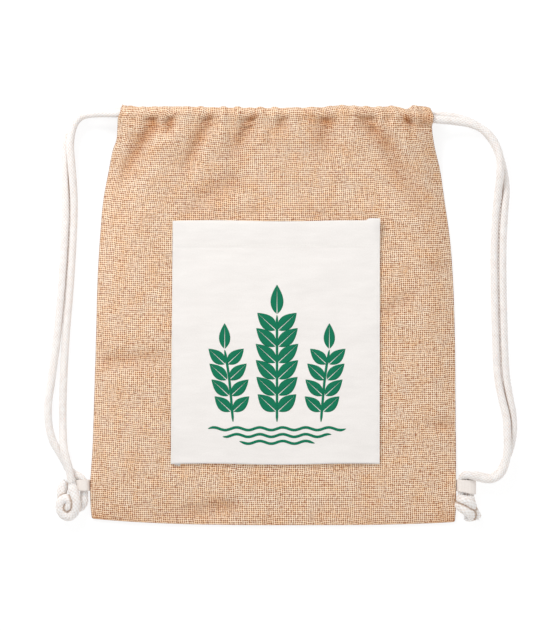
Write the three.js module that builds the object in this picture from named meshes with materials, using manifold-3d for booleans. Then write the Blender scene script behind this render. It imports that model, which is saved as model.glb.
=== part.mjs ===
import * as THREE from "three";
import { mergeVertices } from "three/addons/utils/BufferGeometryUtils.js";
import Module from "manifold-3d";

// A drawstring backpack of jute cloth, lying on its back panel on a level surface.
// Millimetres. +X runs across the bag, +Y towards its mouth, +Z up from the surface.

// Cloth, tape and cord
const JUTE = 1.2; // thickness of the jute cloth
const COTTON = 1.1; // thickness of the pocket's cotton cloth
const TURNING = 0.7; // what the turned edges add to the pocket
const TAPE = 1.0; // thickness of the side loops' tape
const CORD = 7.6; // diameter of the braided cord
const GAP = 0.3; // clearance between pieces that touch
const CORD_ROOM = 0.8; // clearance between a cord and the casing round it

// The bag
const BOTTOM = -202.2; // the lowest place of the bottom seam
const FRONT_STITCH = 179; // height of the seam that closes the front casing
const BACK_STITCH = 177.5; // height of the seam that closes the back casing
const LEAF_STEP = 1.8; // mid-surface step from one casing leaf to the other at the seam
const TURNED_END = 1.2; // how far the end of the turned cloth reaches past the seam
const TROUGH_BACK = 7.8; // from the cord in a casing back to the dip beside its seam
const TROUGH_UP = 2.4; // the least distance from a casing's seam to that dip
const TROUGH_DEPTH = 0.9; // how far the dip lies below the seam
const EDGE_RUN = 22; // how far in from a side seam the crown takes to rise
const BACK_INSET = 0.4; // the back panel's edge lies this far inside the front's
const CORNER = 1.8; // radius of the bag's bottom corners
const BOTTOM_SAG = { middle: 20, reach: 190, rise: 5.5 }; // the curve of the bottom seam
const CASING_LEVEL = 188; // where the width of a casing is taken

// Below its casing the front cloth stays over the casing's inner leaf. This floor falls away
// further down, and rises from the side seams.
const FLOOR = { end: 140, drop: 22, edgeRise: 30, casingRise: 60 };

// Pocket
const POCKET = { left: -98.6, right: 100.2, bottom: -143.4, top: 89.2 };
const POCKET_TOP_HEM = 25;
const POCKET_SIDE_HEM = 4;
const POCKET_LEAN = { bottom: -1.2, top: 0.4 }; // how the left edge leans
const POCKET_WAVE = { height: 0.5, turn: 9 }; // how the edges wave across the pocket
const POCKET_PUFF = 0.5; // how far the open top stands off the bag
const PUFF_START = 40; // height from which it starts to
const HEM_END = 2; // how far a turned edge takes to thin out
const TOP_HEM_END = 3;

// The top right corner, which stands up and reaches past the top edge.
const LIFTED_CORNER = { inward: 3, wide: 9, tall: 14, rise: 2.6, reach: 2.2 };

// Side loops
const LOOP_TOP = -158.6; // the edge of the tape nearer to the mouth
const LOOP_WIDTH = 10.6;
const LOOP_LIFT = 3.0; // how far the tape's two ends raise the front panel's edge
const LOOP_MIDDLE = LOOP_TOP - LOOP_WIDTH / 2;
const LOOP_STEPS = 44; // steps along the tape of a loop
const LOOP_FAN_RUN = 16; // how far out from the seam a loop is fully spread
const RIGHT_LOOP_FAN = 3.4; // how much the right loop is spread there

// Sides of the round tubes
const CORD_SIDES = 8;
const KNOT_SIDES = 10;

// The side edges of the front panel, from the mouth down to the bottom seam.
const SIDES = [
  { y: 205, left: -146.5, right: 146.5 },
  { y: 200, left: -146.9, right: 146.9 },
  { y: 193, left: -147.6, right: 150.4 },
  { y: 187, left: -150.0, right: 151.2 },
  { y: 178, left: -150.3, right: 149.9 },
  { y: 167, left: -151.3, right: 151.2 },
  { y: 157, left: -155.0, right: 153.2 },
  { y: 138, left: -158.9, right: 157.9 },
  { y: 109, left: -164.3, right: 162.2 },
  { y: 71, left: -167.6, right: 167.5 },
  { y: 33, left: -169.8, right: 170.4 },
  { y: -25, left: -171.4, right: 172.3 },
  { y: -82, left: -173.2, right: 172.9 },
  { y: -130, left: -174.9, right: 173.4 },
  { y: -164, left: -177.2, right: 173.6 },
  { y: -183, left: -176.8, right: 173.6 },
  { y: -203, left: -175.0, right: 172.3 },
];

// The height of the mid-surface of the front panel: at its side seams and down its middle.
const CROWN = [
  { y: 182, rim: 17.4, middle: 30.6 },
  { y: 179, rim: 17.0, middle: 30.4 },
  { y: 165, rim: 13.0, middle: 28.0 },
  { y: 150, rim: 7.6, middle: 24.8 },
  { y: 135, rim: 3.6, middle: 22.8 },
  { y: 118, rim: 2.2, middle: 21.2 },
  { y: 70, rim: 2.2, middle: 19.0 },
  { y: 0, rim: 2.2, middle: 17.2 },
  { y: -60, rim: 2.2, middle: 14.8 },
  { y: -120, rim: 2.2, middle: 11.6 },
  { y: -160, rim: 2.2, middle: 8.4 },
  { y: -185, rim: 2.2, middle: 5.2 },
  { y: -203, rim: 2.2, middle: 2.2 },
];

// The top edge of the front casing, uneven where the cloth is gathered on its cord.
const TOP_EDGE = [
  { x: -152, y: 197.4 },
  { x: -126, y: 198.2 },
  { x: -98, y: 198.5 },
  { x: -60, y: 197.6 },
  { x: -22, y: 196.8 },
  { x: -5, y: 196.0 },
  { x: 20, y: 196.6 },
  { x: 45, y: 197.6 },
  { x: 64, y: 199.4 },
  { x: 80, y: 198.8 },
  { x: 92, y: 197.6 },
  { x: 119, y: 198.6 },
  { x: 127, y: 196.0 },
  { x: 136, y: 198.2 },
  { x: 144, y: 198.0 },
  { x: 152, y: 195.4 },
];

// Folds of the front panel, each along a line from its strong end to where it dies out.
// A lift below zero is a trough.
const FRONT_FOLDS = [
  { x1: -114, y1: 186, x2: -154, y2: 120, half: 8, lift: -6.4 },
  { x1: -97, y1: 187, x2: -106, y2: 168, half: 6, lift: -5.0 },
  { x1: -61, y1: 188, x2: -90, y2: 130, half: 8, lift: -5.6 },
  { x1: -23, y1: 188, x2: -44, y2: 143, half: 8, lift: -5.2 },
  { x1: -42, y1: 128, x2: -96, y2: 95, half: 10, lift: -3.4 },
  { x1: 8, y1: 188, x2: 0, y2: 168, half: 7, lift: -3.8 },
  { x1: 50, y1: 186, x2: 42, y2: 150, half: 10, lift: -4.6 },
  { x1: 87, y1: 188, x2: 93, y2: 170, half: 8, lift: -4.4 },
  { x1: 98, y1: 174, x2: 146, y2: 92, half: 9, lift: -3.8 },
  { x1: 127, y1: 187, x2: 148, y2: 183, half: 8, lift: -4.4 },
  { x1: -106, y1: 160, x2: -141, y2: 60, half: 13, lift: 2.2 },
  { x1: -60, y1: 172, x2: -76, y2: 128, half: 9, lift: 1.8 },
  { x1: -20, y1: 96, x2: -92, y2: 92, half: 6, lift: -1.6 },
  { x1: 30, y1: 96, x2: 98, y2: 94, half: 6, lift: -1.4 },
  { x1: -28, y1: -185, x2: -112, y2: -190, half: 7, lift: -2.6 },
  { x1: -160, y1: -44, x2: -98, y2: -42, half: 8, lift: -2.0 },
  { x1: 172, y1: 45, x2: 143, y2: 46, half: 7, lift: -1.6 },
  { x1: 172, y1: -107, x2: 140, y2: -105, half: 7, lift: -1.8 },
  { x1: 108, y1: 4, x2: 140, y2: 24, half: 9, lift: -1.6 },
];

// Gathers of the back panel, ridges that rise from the surface and die out below the seam.
const BACK_FOLDS = [
  { x1: -128, y1: 180, x2: -138, y2: 128, half: 9, lift: 2.4 },
  { x1: -84, y1: 180, x2: -90, y2: 135, half: 10, lift: 2.6 },
  { x1: -38, y1: 180, x2: -40, y2: 140, half: 9, lift: 2.2 },
  { x1: 6, y1: 180, x2: 8, y2: 132, half: 10, lift: 2.6 },
  { x1: 52, y1: 180, x2: 56, y2: 138, half: 9, lift: 2.3 },
  { x1: 98, y1: 180, x2: 106, y2: 130, half: 10, lift: 2.6 },
  { x1: 132, y1: 180, x2: 140, y2: 140, half: 7, lift: 2.0 },
];

// The route of the front casing's cord: left knot, left side, casing, right side, right knot.
const FRONT_ROUTE = [
  [-194.6, -161, 11.9],
  [-197.2, -147.5, 12.2],
  [-200.3, -136.5, 11.9],
  [-202.5, -126, 9.4],
  [-203.5, -109, 4.4],
  [-203.5, -82, 3.8],
  [-199.5, -26.5, 3.8],
  [-195.5, 33, 3.8],
  [-192.5, 100, 3.8],
  [-193, 123.5, 6.6],
  [-195, 145.5, 10],
  [-196, 164, 11.4],
  [-192.5, 181, 11.7],
  [-186, 189, 12],
  [-177, 191.5, 13.4],
  [-148.5, 192, 17.6],
  [-125, 192, 22.8],
  [-90, 192, 26.4],
  [0, 191, 27.2],
  [90, 192.5, 26.4],
  [125, 190, 22.8],
  [151, 186.5, 17.6],
  [172.5, 184.5, 14.2],
  [190.5, 181, 12.1],
  [204, 173, 11.7],
  [212, 161, 11.7],
  [215.5, 147.5, 11.7],
  [215.5, 134, 11.2],
  [213.5, 117, 6.8],
  [211.5, 95, 3.8],
  [210, 57, 3.8],
  [211.5, -24.5, 3.8],
  [213.5, -61, 3.8],
  [217.8, -82.1, 6],
  [220.3, -92.6, 7.2],
  [222, -102.5, 8.2],
  [222.4, -111.7, 9.1],
  [222.6, -121.3, 10.4],
  [222.4, -129.9, 11.3],
  [220.9, -141.4, 11.7],
  [216.6, -152.1, 11.7],
  [210.5, -156.9, 11.6],
  [203.8, -158.2, 11.5],
  [197.1, -156.9, 11.7],
  [189.4, -154.7, 12.8],
  [183, -153.7, 10.8],
  [179.7, -156.6, 6.2],
  [179.2, -162.5, 5.5],
  [179.2, -172, 5.5],
];

// The route of the back casing's cord, in the same order.
const BACK_ROUTE = [
  [-183, -173.2, 5.5],
  [-183.1, -164.5, 5.5],
  [-184.4, -158.9, 5.3],
  [-188.2, -155.3, 4.7],
  [-193.2, -152.6, 4.1],
  [-197.8, -148.6, 3.8],
  [-201.5, -141.5, 3.8],
  [-207, -132, 3.8],
  [-213.5, -120.5, 3.8],
  [-217, -105, 3.8],
  [-217.5, -87, 3.8],
  [-214, -61, 3.8],
  [-209.5, -26.5, 3.8],
  [-204, 33, 3.8],
  [-200.8, 95, 3.8],
  [-200.8, 128.5, 3.8],
  [-200.5, 157, 3.8],
  [-198, 174, 3.8],
  [-192.5, 185, 3.8],
  [-184.5, 192, 3.8],
  [-174, 194.6, 3.9],
  [-148.5, 195, 5.8],
  [-130, 192.5, 5.8],
  [0, 190.5, 5.8],
  [130, 190.7, 5.8],
  [151, 190.7, 5.8],
  [169.5, 189.5, 4.2],
  [184.5, 185.5, 3.8],
  [198, 178, 3.8],
  [208, 167, 3.8],
  [215, 152.5, 3.8],
  [219.5, 136, 3.8],
  [221.5, 119, 3.8],
  [220, 98, 3.8],
  [218.3, 61.5, 3.8],
  [219.6, -20, 3.8],
  [221.6, -59, 3.8],
  [225.3, -82.1, 3.8],
  [227.4, -92.6, 3.8],
  [228.6, -108.9, 3.8],
  [227.2, -121.3, 3.8],
  [225.1, -129.9, 3.8],
  [220.5, -141.4, 3.8],
  [215.5, -151, 3.8],
  [206.7, -156.3, 3.8],
  [198.1, -155.3, 3.8],
  [192.8, -154, 3.9],
  [188.3, -156, 4.9],
  [187.2, -161, 5.6],
  [187.1, -172, 5.6],
];

// The left knot, a ball: the front cord runs down its right side, curls up on the left and
// ends inside. The back cord comes out of the side loop, passes through the middle and ends
// under the front cord, above the ball.
const LEFT_KNOT = [
  [
    [-194.5, -161.6, 11.9],
    [-194.1, -163.6, 12],
    [-193, -168.6, 13],
    [-191.2, -175.5, 14],
    [-190.6, -183.2, 13.4],
    [-192.8, -189.8, 11.4],
    [-197.6, -193.4, 9.8],
    [-203, -190.8, 9.6],
    [-205.3, -185, 10],
    [-204.2, -179.5, 10.8],
    [-200.4, -176.8, 11.8],
    [-196.4, -179, 12.2],
    [-196.6, -183.5, 11.6],
    [-199.8, -185.8, 9.2],
  ],
  [
    [-183, -173.7, 5.5],
    [-183, -175.4, 5.5],
    [-183.9, -179.5, 5],
    [-186.8, -184.2, 4.6],
    [-192, -185.8, 5.8],
    [-197.5, -184, 7.2],
    [-202, -179.6, 7.4],
    [-204.2, -173.4, 5.8],
    [-203.4, -167, 4.6],
    [-200.4, -161.2, 3.8],
  ],
];

// The right knot: the front cord turns twice round the back cord, and both ends hang out.
const RIGHT_KNOT = [
  [
    [179.2, -172.5, 5.5],
    [179.2, -174.1, 5.5],
    [178.2, -177.4, 8.5],
    [179.8, -178.4, 12.5],
    [184.5, -179.7, 14.8],
    [187.6, -182.6, 12.8],
    [188.6, -185.5, 8.2],
    [186.1, -186.6, 4.8],
    [180.8, -184.6, 4.2],
    [177.4, -182.6, 6.6],
    [177.2, -183.4, 10],
    [180.3, -185.8, 13],
    [185, -188.8, 12.8],
    [188.2, -192, 9.2],
    [187.2, -194, 5.2],
    [183.6, -193.8, 3.9],
  ],
  [
    [187.1, -172.5, 5.6],
    [187.1, -174.1, 5.6],
    [187.2, -178.5, 7.4],
    [188.2, -184.5, 8.6],
    [190.8, -190, 7.8],
    [193.7, -194.5, 5.6],
  ],
];

// The side loops' tape in section: distance out from the side seam, and height.
const LEFT_LOOP = [
  [-7, 3.4],
  [-1, 3.4],
  [0.6, 4.2],
  [1.2, 6.4],
  [1.9, 8.6],
  [3.4, 10.1],
  [6.2, 10.6],
  [9.6, 10.5],
  [12.6, 9.5],
  [14.7, 7.6],
  [15.5, 5.2],
  [14.9, 2.6],
  [13, 0.9],
  [9, 0.65],
  [3, 0.9],
  [1.2, 1.7],
  [-1, 2.1],
  [-7, 2.1],
];
const RIGHT_LOOP = [
  [-7, 3.4],
  [-1, 3.4],
  [0.5, 3.8],
  [1.1, 5.4],
  [1.8, 8],
  [3.4, 9.9],
  [5.8, 10.6],
  [9.6, 10.7],
  [13.8, 10.6],
  [17.3, 9],
  [18.7, 5.4],
  [17.3, 1.9],
  [13.8, 0.65],
  [5.6, 0.65],
  [2.6, 0.9],
  [1, 1.7],
  [-1, 2.1],
  [-7, 2.1],
];

const wasm = await Module();
wasm.setup();

const mix = (a, b, share) => a + (b - a) * share;
const clamp = (value, low, high) => Math.min(Math.max(value, low), high);
const smooth = (share) => share * share * (3 - 2 * share);
const ramp = (value, low, high) => smooth(clamp((value - low) / (high - low), 0, 1));

// A value of a table's column at a place between two rows, on a smooth curve.
function read(table, key, place, column) {
  const rising = table[0][key] < table.at(-1)[key];
  const past = table.findIndex((row) => (rising ? row[key] >= place : row[key] <= place));
  const i = clamp(past < 0 ? table.length - 1 : past, 1, table.length - 1);
  const [a, b] = [table[i - 1], table[i]];
  const slope = (k) => {
    const [p, q] = [table[Math.max(k - 1, 0)], table[Math.min(k + 1, table.length - 1)]];
    return (q[column] - p[column]) / (q[key] - p[key]);
  };
  const span = b[key] - a[key];
  const t = clamp((place - a[key]) / span, 0, 1);
  const [t2, t3] = [t * t, t * t * t];
  return (
    (2 * t3 - 3 * t2 + 1) * a[column] +
    (t3 - 2 * t2 + t) * span * slope(i - 1) +
    (3 * t2 - 2 * t3) * b[column] +
    (t3 - t2) * span * slope(i)
  );
}

const leftEdge = (y) => read(SIDES, "y", y, "left");
const rightEdge = (y) => read(SIDES, "y", y, "right");

// The bottom seam sags a little towards its middle.
const bottomEdge = (x) =>
  BOTTOM + BOTTOM_SAG.rise * Math.abs((x - BOTTOM_SAG.middle) / BOTTOM_SAG.reach) ** 3;

// How much of the crown's height is reached at a place, from 0 at a side seam to 1.
function crownShare(x, y) {
  const inFromEdge = Math.min(x - leftEdge(y), rightEdge(y) - x);
  return Math.tanh(Math.max(inFromEdge, 0) / EDGE_RUN);
}

function foldHeight(folds, x, y) {
  let height = 0;
  for (const { x1, y1, x2, y2, half, lift } of folds) {
    const [dx, dy] = [x2 - x1, y2 - y1];
    const along = ((x - x1) * dx + (y - y1) * dy) / (dx * dx + dy * dy);
    const t = clamp(along, 0, 1);
    const away = Math.hypot(x - x1 - t * dx, y - y1 - t * dy);
    height += lift * (1 - 0.85 * t * t) * Math.exp(-((away / half) ** 2));
  }
  return height;
}

// The centre of a cord inside its casing, on the straight line between its route's points.
function cordAt(route, x) {
  const inside = route.filter(([px, py]) => Math.abs(px) < 152 && py > 180);
  const past = inside.findIndex(([px]) => px >= x);
  const i = clamp(past < 0 ? inside.length : past, 1, inside.length - 1);
  const [a, b] = [inside[i - 1], inside[i]];
  const share = clamp((x - a[0]) / (b[0] - a[0]), 0, 1);
  return { y: mix(a[1], b[1], share), z: mix(a[2], b[2], share) };
}

// The casing's mid-surface in section: the cloth drawn round its cord, and round a narrower
// fold at the top edge. The angle is that of the outward normal, 0 towards the mouth.
const CASING_RADIUS = CORD / 2 + CORD_ROOM + JUTE / 2;
const FOLD_RADIUS = 1.5;
function casingPoint(angle, cord, edge) {
  const [ny, nz] = [Math.cos(angle), Math.sin(angle)];
  const base = cord.z - CASING_RADIUS;
  const circles = [
    { y: cord.y, z: cord.z, r: CASING_RADIUS },
    { y: edge - JUTE / 2 - FOLD_RADIUS, z: base + FOLD_RADIUS, r: FOLD_RADIUS },
  ];
  const [reach, foldReach] = circles.map(({ y, z, r }) => y * ny + z * nz + r);
  const { y, z, r } = circles[foldReach > reach + 0.01 ? 1 : 0];
  return { y: y + r * ny, z: z + r * nz };
}
const CASING_ANGLES = [-90, -55, -20, 15, 45, 75, 100, 125, 150].map(THREE.MathUtils.degToRad);

// The tape of a side loop lies between the panels and lifts the front panel there.
function loopLift(x, y) {
  const inFromEdge = Math.min(x - leftEdge(y), rightEdge(y) - x);
  const near = 1 - ramp(Math.abs(y - LOOP_MIDDLE), LOOP_WIDTH / 2 + 1.5, LOOP_WIDTH / 2 + 14);
  return LOOP_LIFT * near * (1 - ramp(inFromEdge, 9, 30));
}

function frontHeight(x, y) {
  const rim = read(CROWN, "y", y, "rim");
  const middle = read(CROWN, "y", y, "middle");
  const share = crownShare(x, y);
  const folds = foldHeight(FRONT_FOLDS, x, y) * clamp(share * 2.2, 0.12, 1);
  const seam = rim + loopLift(x, y);
  const height = Math.max(seam, mix(rim, middle, share)) + folds;
  const sunk = FLOOR.drop * (1 - ramp(y, FLOOR.end, FRONT_STITCH));
  const atEdge = seam + FLOOR.edgeRise * share + FLOOR.casingRise * ramp(y, 150, 170);
  return Math.max(height, Math.min(innerLeaf(x) + LEAF_STEP - sunk, atEdge), seam);
}
const innerLeaf = (x) => cordAt(FRONT_ROUTE, x).z - CASING_RADIUS;
const backHeight = (x, y) => JUTE / 2 + foldHeight(BACK_FOLDS, x, y) * ramp(y, 118, 150);

// A closed sheet of cloth about a grid of mid-surface points. thickness(i, j) gives the
// thickness at row i and column j.
function sheet(grid, thickness) {
  const [rows, columns] = [grid.length, grid[0].length];
  const at = (i, j) => grid[clamp(i, 0, rows - 1)][clamp(j, 0, columns - 1)];
  const faces = [[], []];
  for (let i = 0; i < rows; i++)
    for (let j = 0; j < columns; j++) {
      const across = at(i, j + 1).clone().sub(at(i, j - 1));
      const along = at(i + 1, j).clone().sub(at(i - 1, j));
      const normal = across.cross(along).normalize();
      const half = thickness(i, j) / 2;
      faces[0].push(at(i, j).clone().addScaledVector(normal, half));
      faces[1].push(at(i, j).clone().addScaledVector(normal, -half));
    }
  const points = [...faces[0], ...faces[1]];
  const id = (side, i, j) => side * rows * columns + i * columns + j;
  const index = [];
  const quad = (a, b, c, d) => index.push(a, b, c, a, c, d);
  for (let i = 0; i + 1 < rows; i++)
    for (let j = 0; j + 1 < columns; j++) {
      quad(id(0, i, j), id(0, i, j + 1), id(0, i + 1, j + 1), id(0, i + 1, j));
      quad(id(1, i, j), id(1, i + 1, j), id(1, i + 1, j + 1), id(1, i, j + 1));
    }
  for (let i = 0; i + 1 < rows; i++) {
    const last = columns - 1;
    quad(id(0, i, 0), id(0, i + 1, 0), id(1, i + 1, 0), id(1, i, 0));
    quad(id(0, i + 1, last), id(0, i, last), id(1, i, last), id(1, i + 1, last));
  }
  for (let j = 0; j + 1 < columns; j++) {
    const last = rows - 1;
    quad(id(0, 0, j + 1), id(0, 0, j), id(1, 0, j), id(1, 0, j + 1));
    quad(id(0, last, j), id(0, last, j + 1), id(1, last, j + 1), id(1, last, j));
  }
  const geometry = new THREE.BufferGeometry().setFromPoints(points).setIndex(index);
  geometry.computeVertexNormals();
  return geometry;
}

// Shares of a span, finer towards both ends.
function shares(count, crowding) {
  return Array.from({ length: count }, (_, k) => {
    const t = k / (count - 1);
    return mix(t, 0.5 - 0.5 * Math.cos(Math.PI * t), crowding);
  });
}

const FRONT_COLUMNS = shares(43, 0.25);
const BACK_COLUMNS = shares(23, 0.25);

// Heights of the panels' rows below the seam of the casing. The last rows, alike in both
// panels, are distances up from the bottom seam.
const FRONT_ROWS = [
  175, 170, 164, 157, 149, 140, 130, 119, 106, 96, 88, 75, 57, 45, 32, 18, 3, -20, -42, -64,
  -86, -106, -128, -145, -155, -162, -169, -178, -185,
];
const BACK_ROWS = [168, 158, 146, 132, 118, 90, 50, 5, -45, -95, -135, -165, -184];
const SEAM_ROWS = [10, 5.5, 2.2, 0.6, 0];

// Where a row crosses the bag, with the bottom corners rounded.
function acrossBag(share, y, inset) {
  const [left, right] = [leftEdge(y) + inset, rightEdge(y) - inset];
  const x = mix(left, right, share);
  const above = clamp(y - inset - bottomEdge(x), 0, CORNER);
  const corner = CORNER - Math.sqrt(CORNER ** 2 - (CORNER - above) ** 2);
  return mix(left + corner, right - corner, share);
}

function belowSeam(columns, rows, inset, height) {
  const upper = rows.map((y) =>
    columns.map((share) => {
      const x = acrossBag(share, y, inset);
      return new THREE.Vector3(x, y, height(x, y));
    }),
  );
  const lower = SEAM_ROWS.map((above) =>
    columns.map((share) => {
      const guess = mix(leftEdge(-190), rightEdge(-190), share);
      const y = bottomEdge(guess) + inset + above;
      const x = acrossBag(share, y, inset);
      return new THREE.Vector3(x, y, height(x, y));
    }),
  );
  return [...upper, ...lower];
}

// The rows of a casing: from the end of the turned cloth, under and round the cord, down to
// the dip beside the seam, and to the seam itself.
function casing(columns, route, stitch, inset, edge, seamHeight) {
  const row = (place) =>
    columns.map((share) => {
      const [left, right] = [leftEdge(CASING_LEVEL) + inset, rightEdge(CASING_LEVEL) - inset];
      const x0 = mix(left, right, share);
      const { y, z } = place(x0);
      return new THREE.Vector3(mix(leftEdge(y) + inset, rightEdge(y) - inset, share), y, z);
    });
  const base = (x) => cordAt(route, x).z - CASING_RADIUS;
  const innerRows = [0, 0.35, 0.7].map((share) =>
    row((x) => ({
      y: mix(stitch - TURNED_END, cordAt(route, x).y, share),
      z: mix(seamHeight(x).low, base(x), smooth(share)),
    })),
  );
  const roundCord = CASING_ANGLES.map((angle) =>
    row((x) => casingPoint(angle, cordAt(route, x), edge(x))),
  );
  const trough = row((x) => ({
    y: Math.max(cordAt(route, x).y - TROUGH_BACK, stitch + TROUGH_UP),
    z: Math.max(base(x) + LEAF_STEP, seamHeight(x).high - TROUGH_DEPTH),
  }));
  const seam = row((x) => ({ y: stitch, z: seamHeight(x).high }));
  return [...innerRows, ...roundCord, trough, seam];
}

function frontPanel() {
  const seamHeight = (x) => {
    const high = frontHeight(x, FRONT_STITCH);
    return { high, low: high - LEAF_STEP };
  };
  const edge = (x) => read(TOP_EDGE, "x", x, "y");
  const top = casing(FRONT_COLUMNS, FRONT_ROUTE, FRONT_STITCH, 0, edge, seamHeight);
  const panel = belowSeam(FRONT_COLUMNS, FRONT_ROWS, 0, frontHeight);
  return sheet([...top, ...panel].reverse(), () => JUTE);
}

function backPanel() {
  const seamHeight = (x) => {
    const low = backHeight(x, BACK_STITCH);
    return { low, high: low + LEAF_STEP };
  };
  const edge = (x) => cordAt(BACK_ROUTE, x).y + CASING_RADIUS;
  const top = casing(BACK_COLUMNS, BACK_ROUTE, BACK_STITCH, BACK_INSET, edge, seamHeight);
  const panel = belowSeam(BACK_COLUMNS, BACK_ROWS, BACK_INSET, backHeight);
  return sheet([...panel.reverse(), ...top], () => JUTE);
}

// The pocket lies on the front panel. Its edges are turned under, which thickens them, and
// its top right corner stands up a little.
function pocket() {
  const [columns, rows] = [shares(15, 0.35), shares(16, 0.35)];
  const corner = (x, y) => {
    const across = (x - POCKET.right + LIFTED_CORNER.inward) / LIFTED_CORNER.wide;
    return Math.exp(-(across ** 2) - ((y - POCKET.top) / LIFTED_CORNER.tall) ** 2);
  };
  const spot = (i, j) => {
    const wave = POCKET_WAVE.height * Math.sin(columns[j] * POCKET_WAVE.turn);
    const y = mix(POCKET.bottom, POCKET.top, rows[i]) + wave;
    const lean = mix(POCKET_LEAN.bottom, POCKET_LEAN.top, rows[i]);
    const x = mix(POCKET.left + lean, POCKET.right, columns[j]);
    return { x, y: y + LIFTED_CORNER.reach * corner(x, y) * rows[i] };
  };
  const thickness = (i, j) => {
    const fromSide = Math.min(columns[j], 1 - columns[j]) * (POCKET.right - POCKET.left);
    const fromBottom = rows[i] * (POCKET.top - POCKET.bottom);
    const fromEnd = POCKET.top - POCKET.bottom - fromBottom;
    const hem = Math.max(
      1 - ramp(fromSide, POCKET_SIDE_HEM, POCKET_SIDE_HEM + HEM_END),
      1 - ramp(fromEnd, POCKET_TOP_HEM, POCKET_TOP_HEM + TOP_HEM_END),
      1 - ramp(fromBottom, POCKET_SIDE_HEM, POCKET_SIDE_HEM + HEM_END),
    );
    return COTTON + TURNING * hem;
  };
  const grid = rows.map((_, i) =>
    columns.map((__, j) => {
      const { x, y } = spot(i, j);
      const under = frontHeight(x, y) + JUTE / 2 + 3 * GAP;
      const puff = LIFTED_CORNER.rise * corner(x, y) + POCKET_PUFF * ramp(y, PUFF_START, POCKET.top);
      return new THREE.Vector3(x, y, under + thickness(i, j) / 2 + puff);
    }),
  );
  return sheet(grid, thickness);
}

// A smooth curve that is read by its points, not by its length, so that a tube gets a ring
// of corners at each point of its route.
class Route extends THREE.CatmullRomCurve3 {
  constructor(points) {
    super(points.map((p) => new THREE.Vector3(...p)), false, "centripetal");
  }
  getPointAt(share, target) {
    return this.getPoint(share, target);
  }
  getTangentAt(share, target) {
    return this.getTangent(share, target);
  }
}

function tube(points, sides, steps) {
  const section = new THREE.Shape(
    Array.from({ length: sides }, (_, k) => {
      const angle = (2 * Math.PI * k) / sides;
      return new THREE.Vector2((CORD / 2) * Math.cos(angle), (CORD / 2) * Math.sin(angle));
    }),
  );
  const geometry = new THREE.ExtrudeGeometry(section, {
    steps,
    bevelEnabled: false,
    extrudePath: new Route(points),
  });
  geometry.deleteAttribute("normal");
  geometry.deleteAttribute("uv");
  return mergeVertices(geometry, 1e-4);
}

function solid(geometry) {
  const mesh = new wasm.Mesh({
    numProp: 3,
    vertProperties: geometry.attributes.position.array,
    triVerts: new Uint32Array(geometry.index.array),
  });
  return new wasm.Manifold(mesh);
}

// A knot: its strands' tubes pressed into one body.
function knot(strands) {
  const [first, ...others] = strands.map((points) =>
    solid(tube(points, KNOT_SIDES, points.length * 2)),
  );
  const mesh = others.reduce((sum, next) => sum.add(next), first).getMesh();
  const geometry = new THREE.BufferGeometry();
  geometry.setAttribute("position", new THREE.BufferAttribute(mesh.vertProperties, 3));
  geometry.setIndex(new THREE.BufferAttribute(mesh.triVerts, 1));
  return geometry;
}

// A side loop: tape folded back on itself, with both ends between the panels.
function sideLoop(section, side, fan) {
  const middle = new THREE.SplineCurve(section.map(([out, up]) => new THREE.Vector2(out, up)));
  const [outer, inner] = [[], []];
  for (let k = 0; k <= LOOP_STEPS; k++) {
    const p = middle.getPoint(k / LOOP_STEPS);
    const t = middle.getTangent(k / LOOP_STEPS);
    outer.push(new THREE.Vector2(p.x - (t.y * TAPE) / 2, p.y + (t.x * TAPE) / 2));
    inner.push(new THREE.Vector2(p.x + (t.y * TAPE) / 2, p.y - (t.x * TAPE) / 2));
  }
  const geometry = new THREE.ExtrudeGeometry(new THREE.Shape([...outer, ...inner.reverse()]), {
    depth: LOOP_WIDTH,
    bevelEnabled: false,
  });
  const seam = side > 0 ? rightEdge(LOOP_MIDDLE) : leftEdge(LOOP_MIDDLE);
  const spots = geometry.attributes.position;
  for (let k = 0; k < spots.count; k++) {
    const [out, up, far] = [spots.getX(k), spots.getY(k), spots.getZ(k)];
    const spread = (far / LOOP_WIDTH) * fan * clamp(out / LOOP_FAN_RUN, 0, 1);
    spots.setXYZ(k, seam + side * out, LOOP_TOP - far - spread, up);
  }
  if (side < 0) turnFaces(spots);
  return geometry;
}

// Gives each triangle its corners in the opposite order, as a mirrored solid needs.
function turnFaces(spots) {
  for (let k = 0; k < spots.count; k += 3) {
    const [b, c] = [1, 2].map((n) => new THREE.Vector3().fromBufferAttribute(spots, k + n));
    spots.setXYZ(k + 1, c.x, c.y, c.z);
    spots.setXYZ(k + 2, b.x, b.y, b.z);
  }
}

const jute = new THREE.MeshStandardMaterial({ color: 0xd9b384, roughness: 0.95, metalness: 0 });
const canvas = new THREE.MeshStandardMaterial({ color: 0xefe9e0, roughness: 0.9, metalness: 0 });
const tapeCotton = new THREE.MeshStandardMaterial({ color: 0xeae2d8, roughness: 0.9, metalness: 0 });
const braid = new THREE.MeshStandardMaterial({ color: 0xf1efea, roughness: 0.92, metalness: 0 });

const PIECES = [
  ["back_panel", backPanel(), jute],
  ["front_panel", frontPanel(), jute],
  ["pocket", pocket(), canvas],
  ["loop_left", sideLoop(LEFT_LOOP, -1, 0), tapeCotton],
  ["loop_right", sideLoop(RIGHT_LOOP, 1, RIGHT_LOOP_FAN), tapeCotton],
  ["cord_front", tube(FRONT_ROUTE, CORD_SIDES, FRONT_ROUTE.length - 1), braid],
  ["cord_back", tube(BACK_ROUTE, CORD_SIDES, BACK_ROUTE.length - 1), braid],
  ["knot_left", knot(LEFT_KNOT), braid],
  ["knot_right", knot(RIGHT_KNOT), braid],
];

const bag = new THREE.Group();
for (const [name, geometry, material] of PIECES) {
  const mesh = new THREE.Mesh(geometry, material);
  mesh.name = name;
  bag.add(mesh);
}

export default bag;
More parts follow.
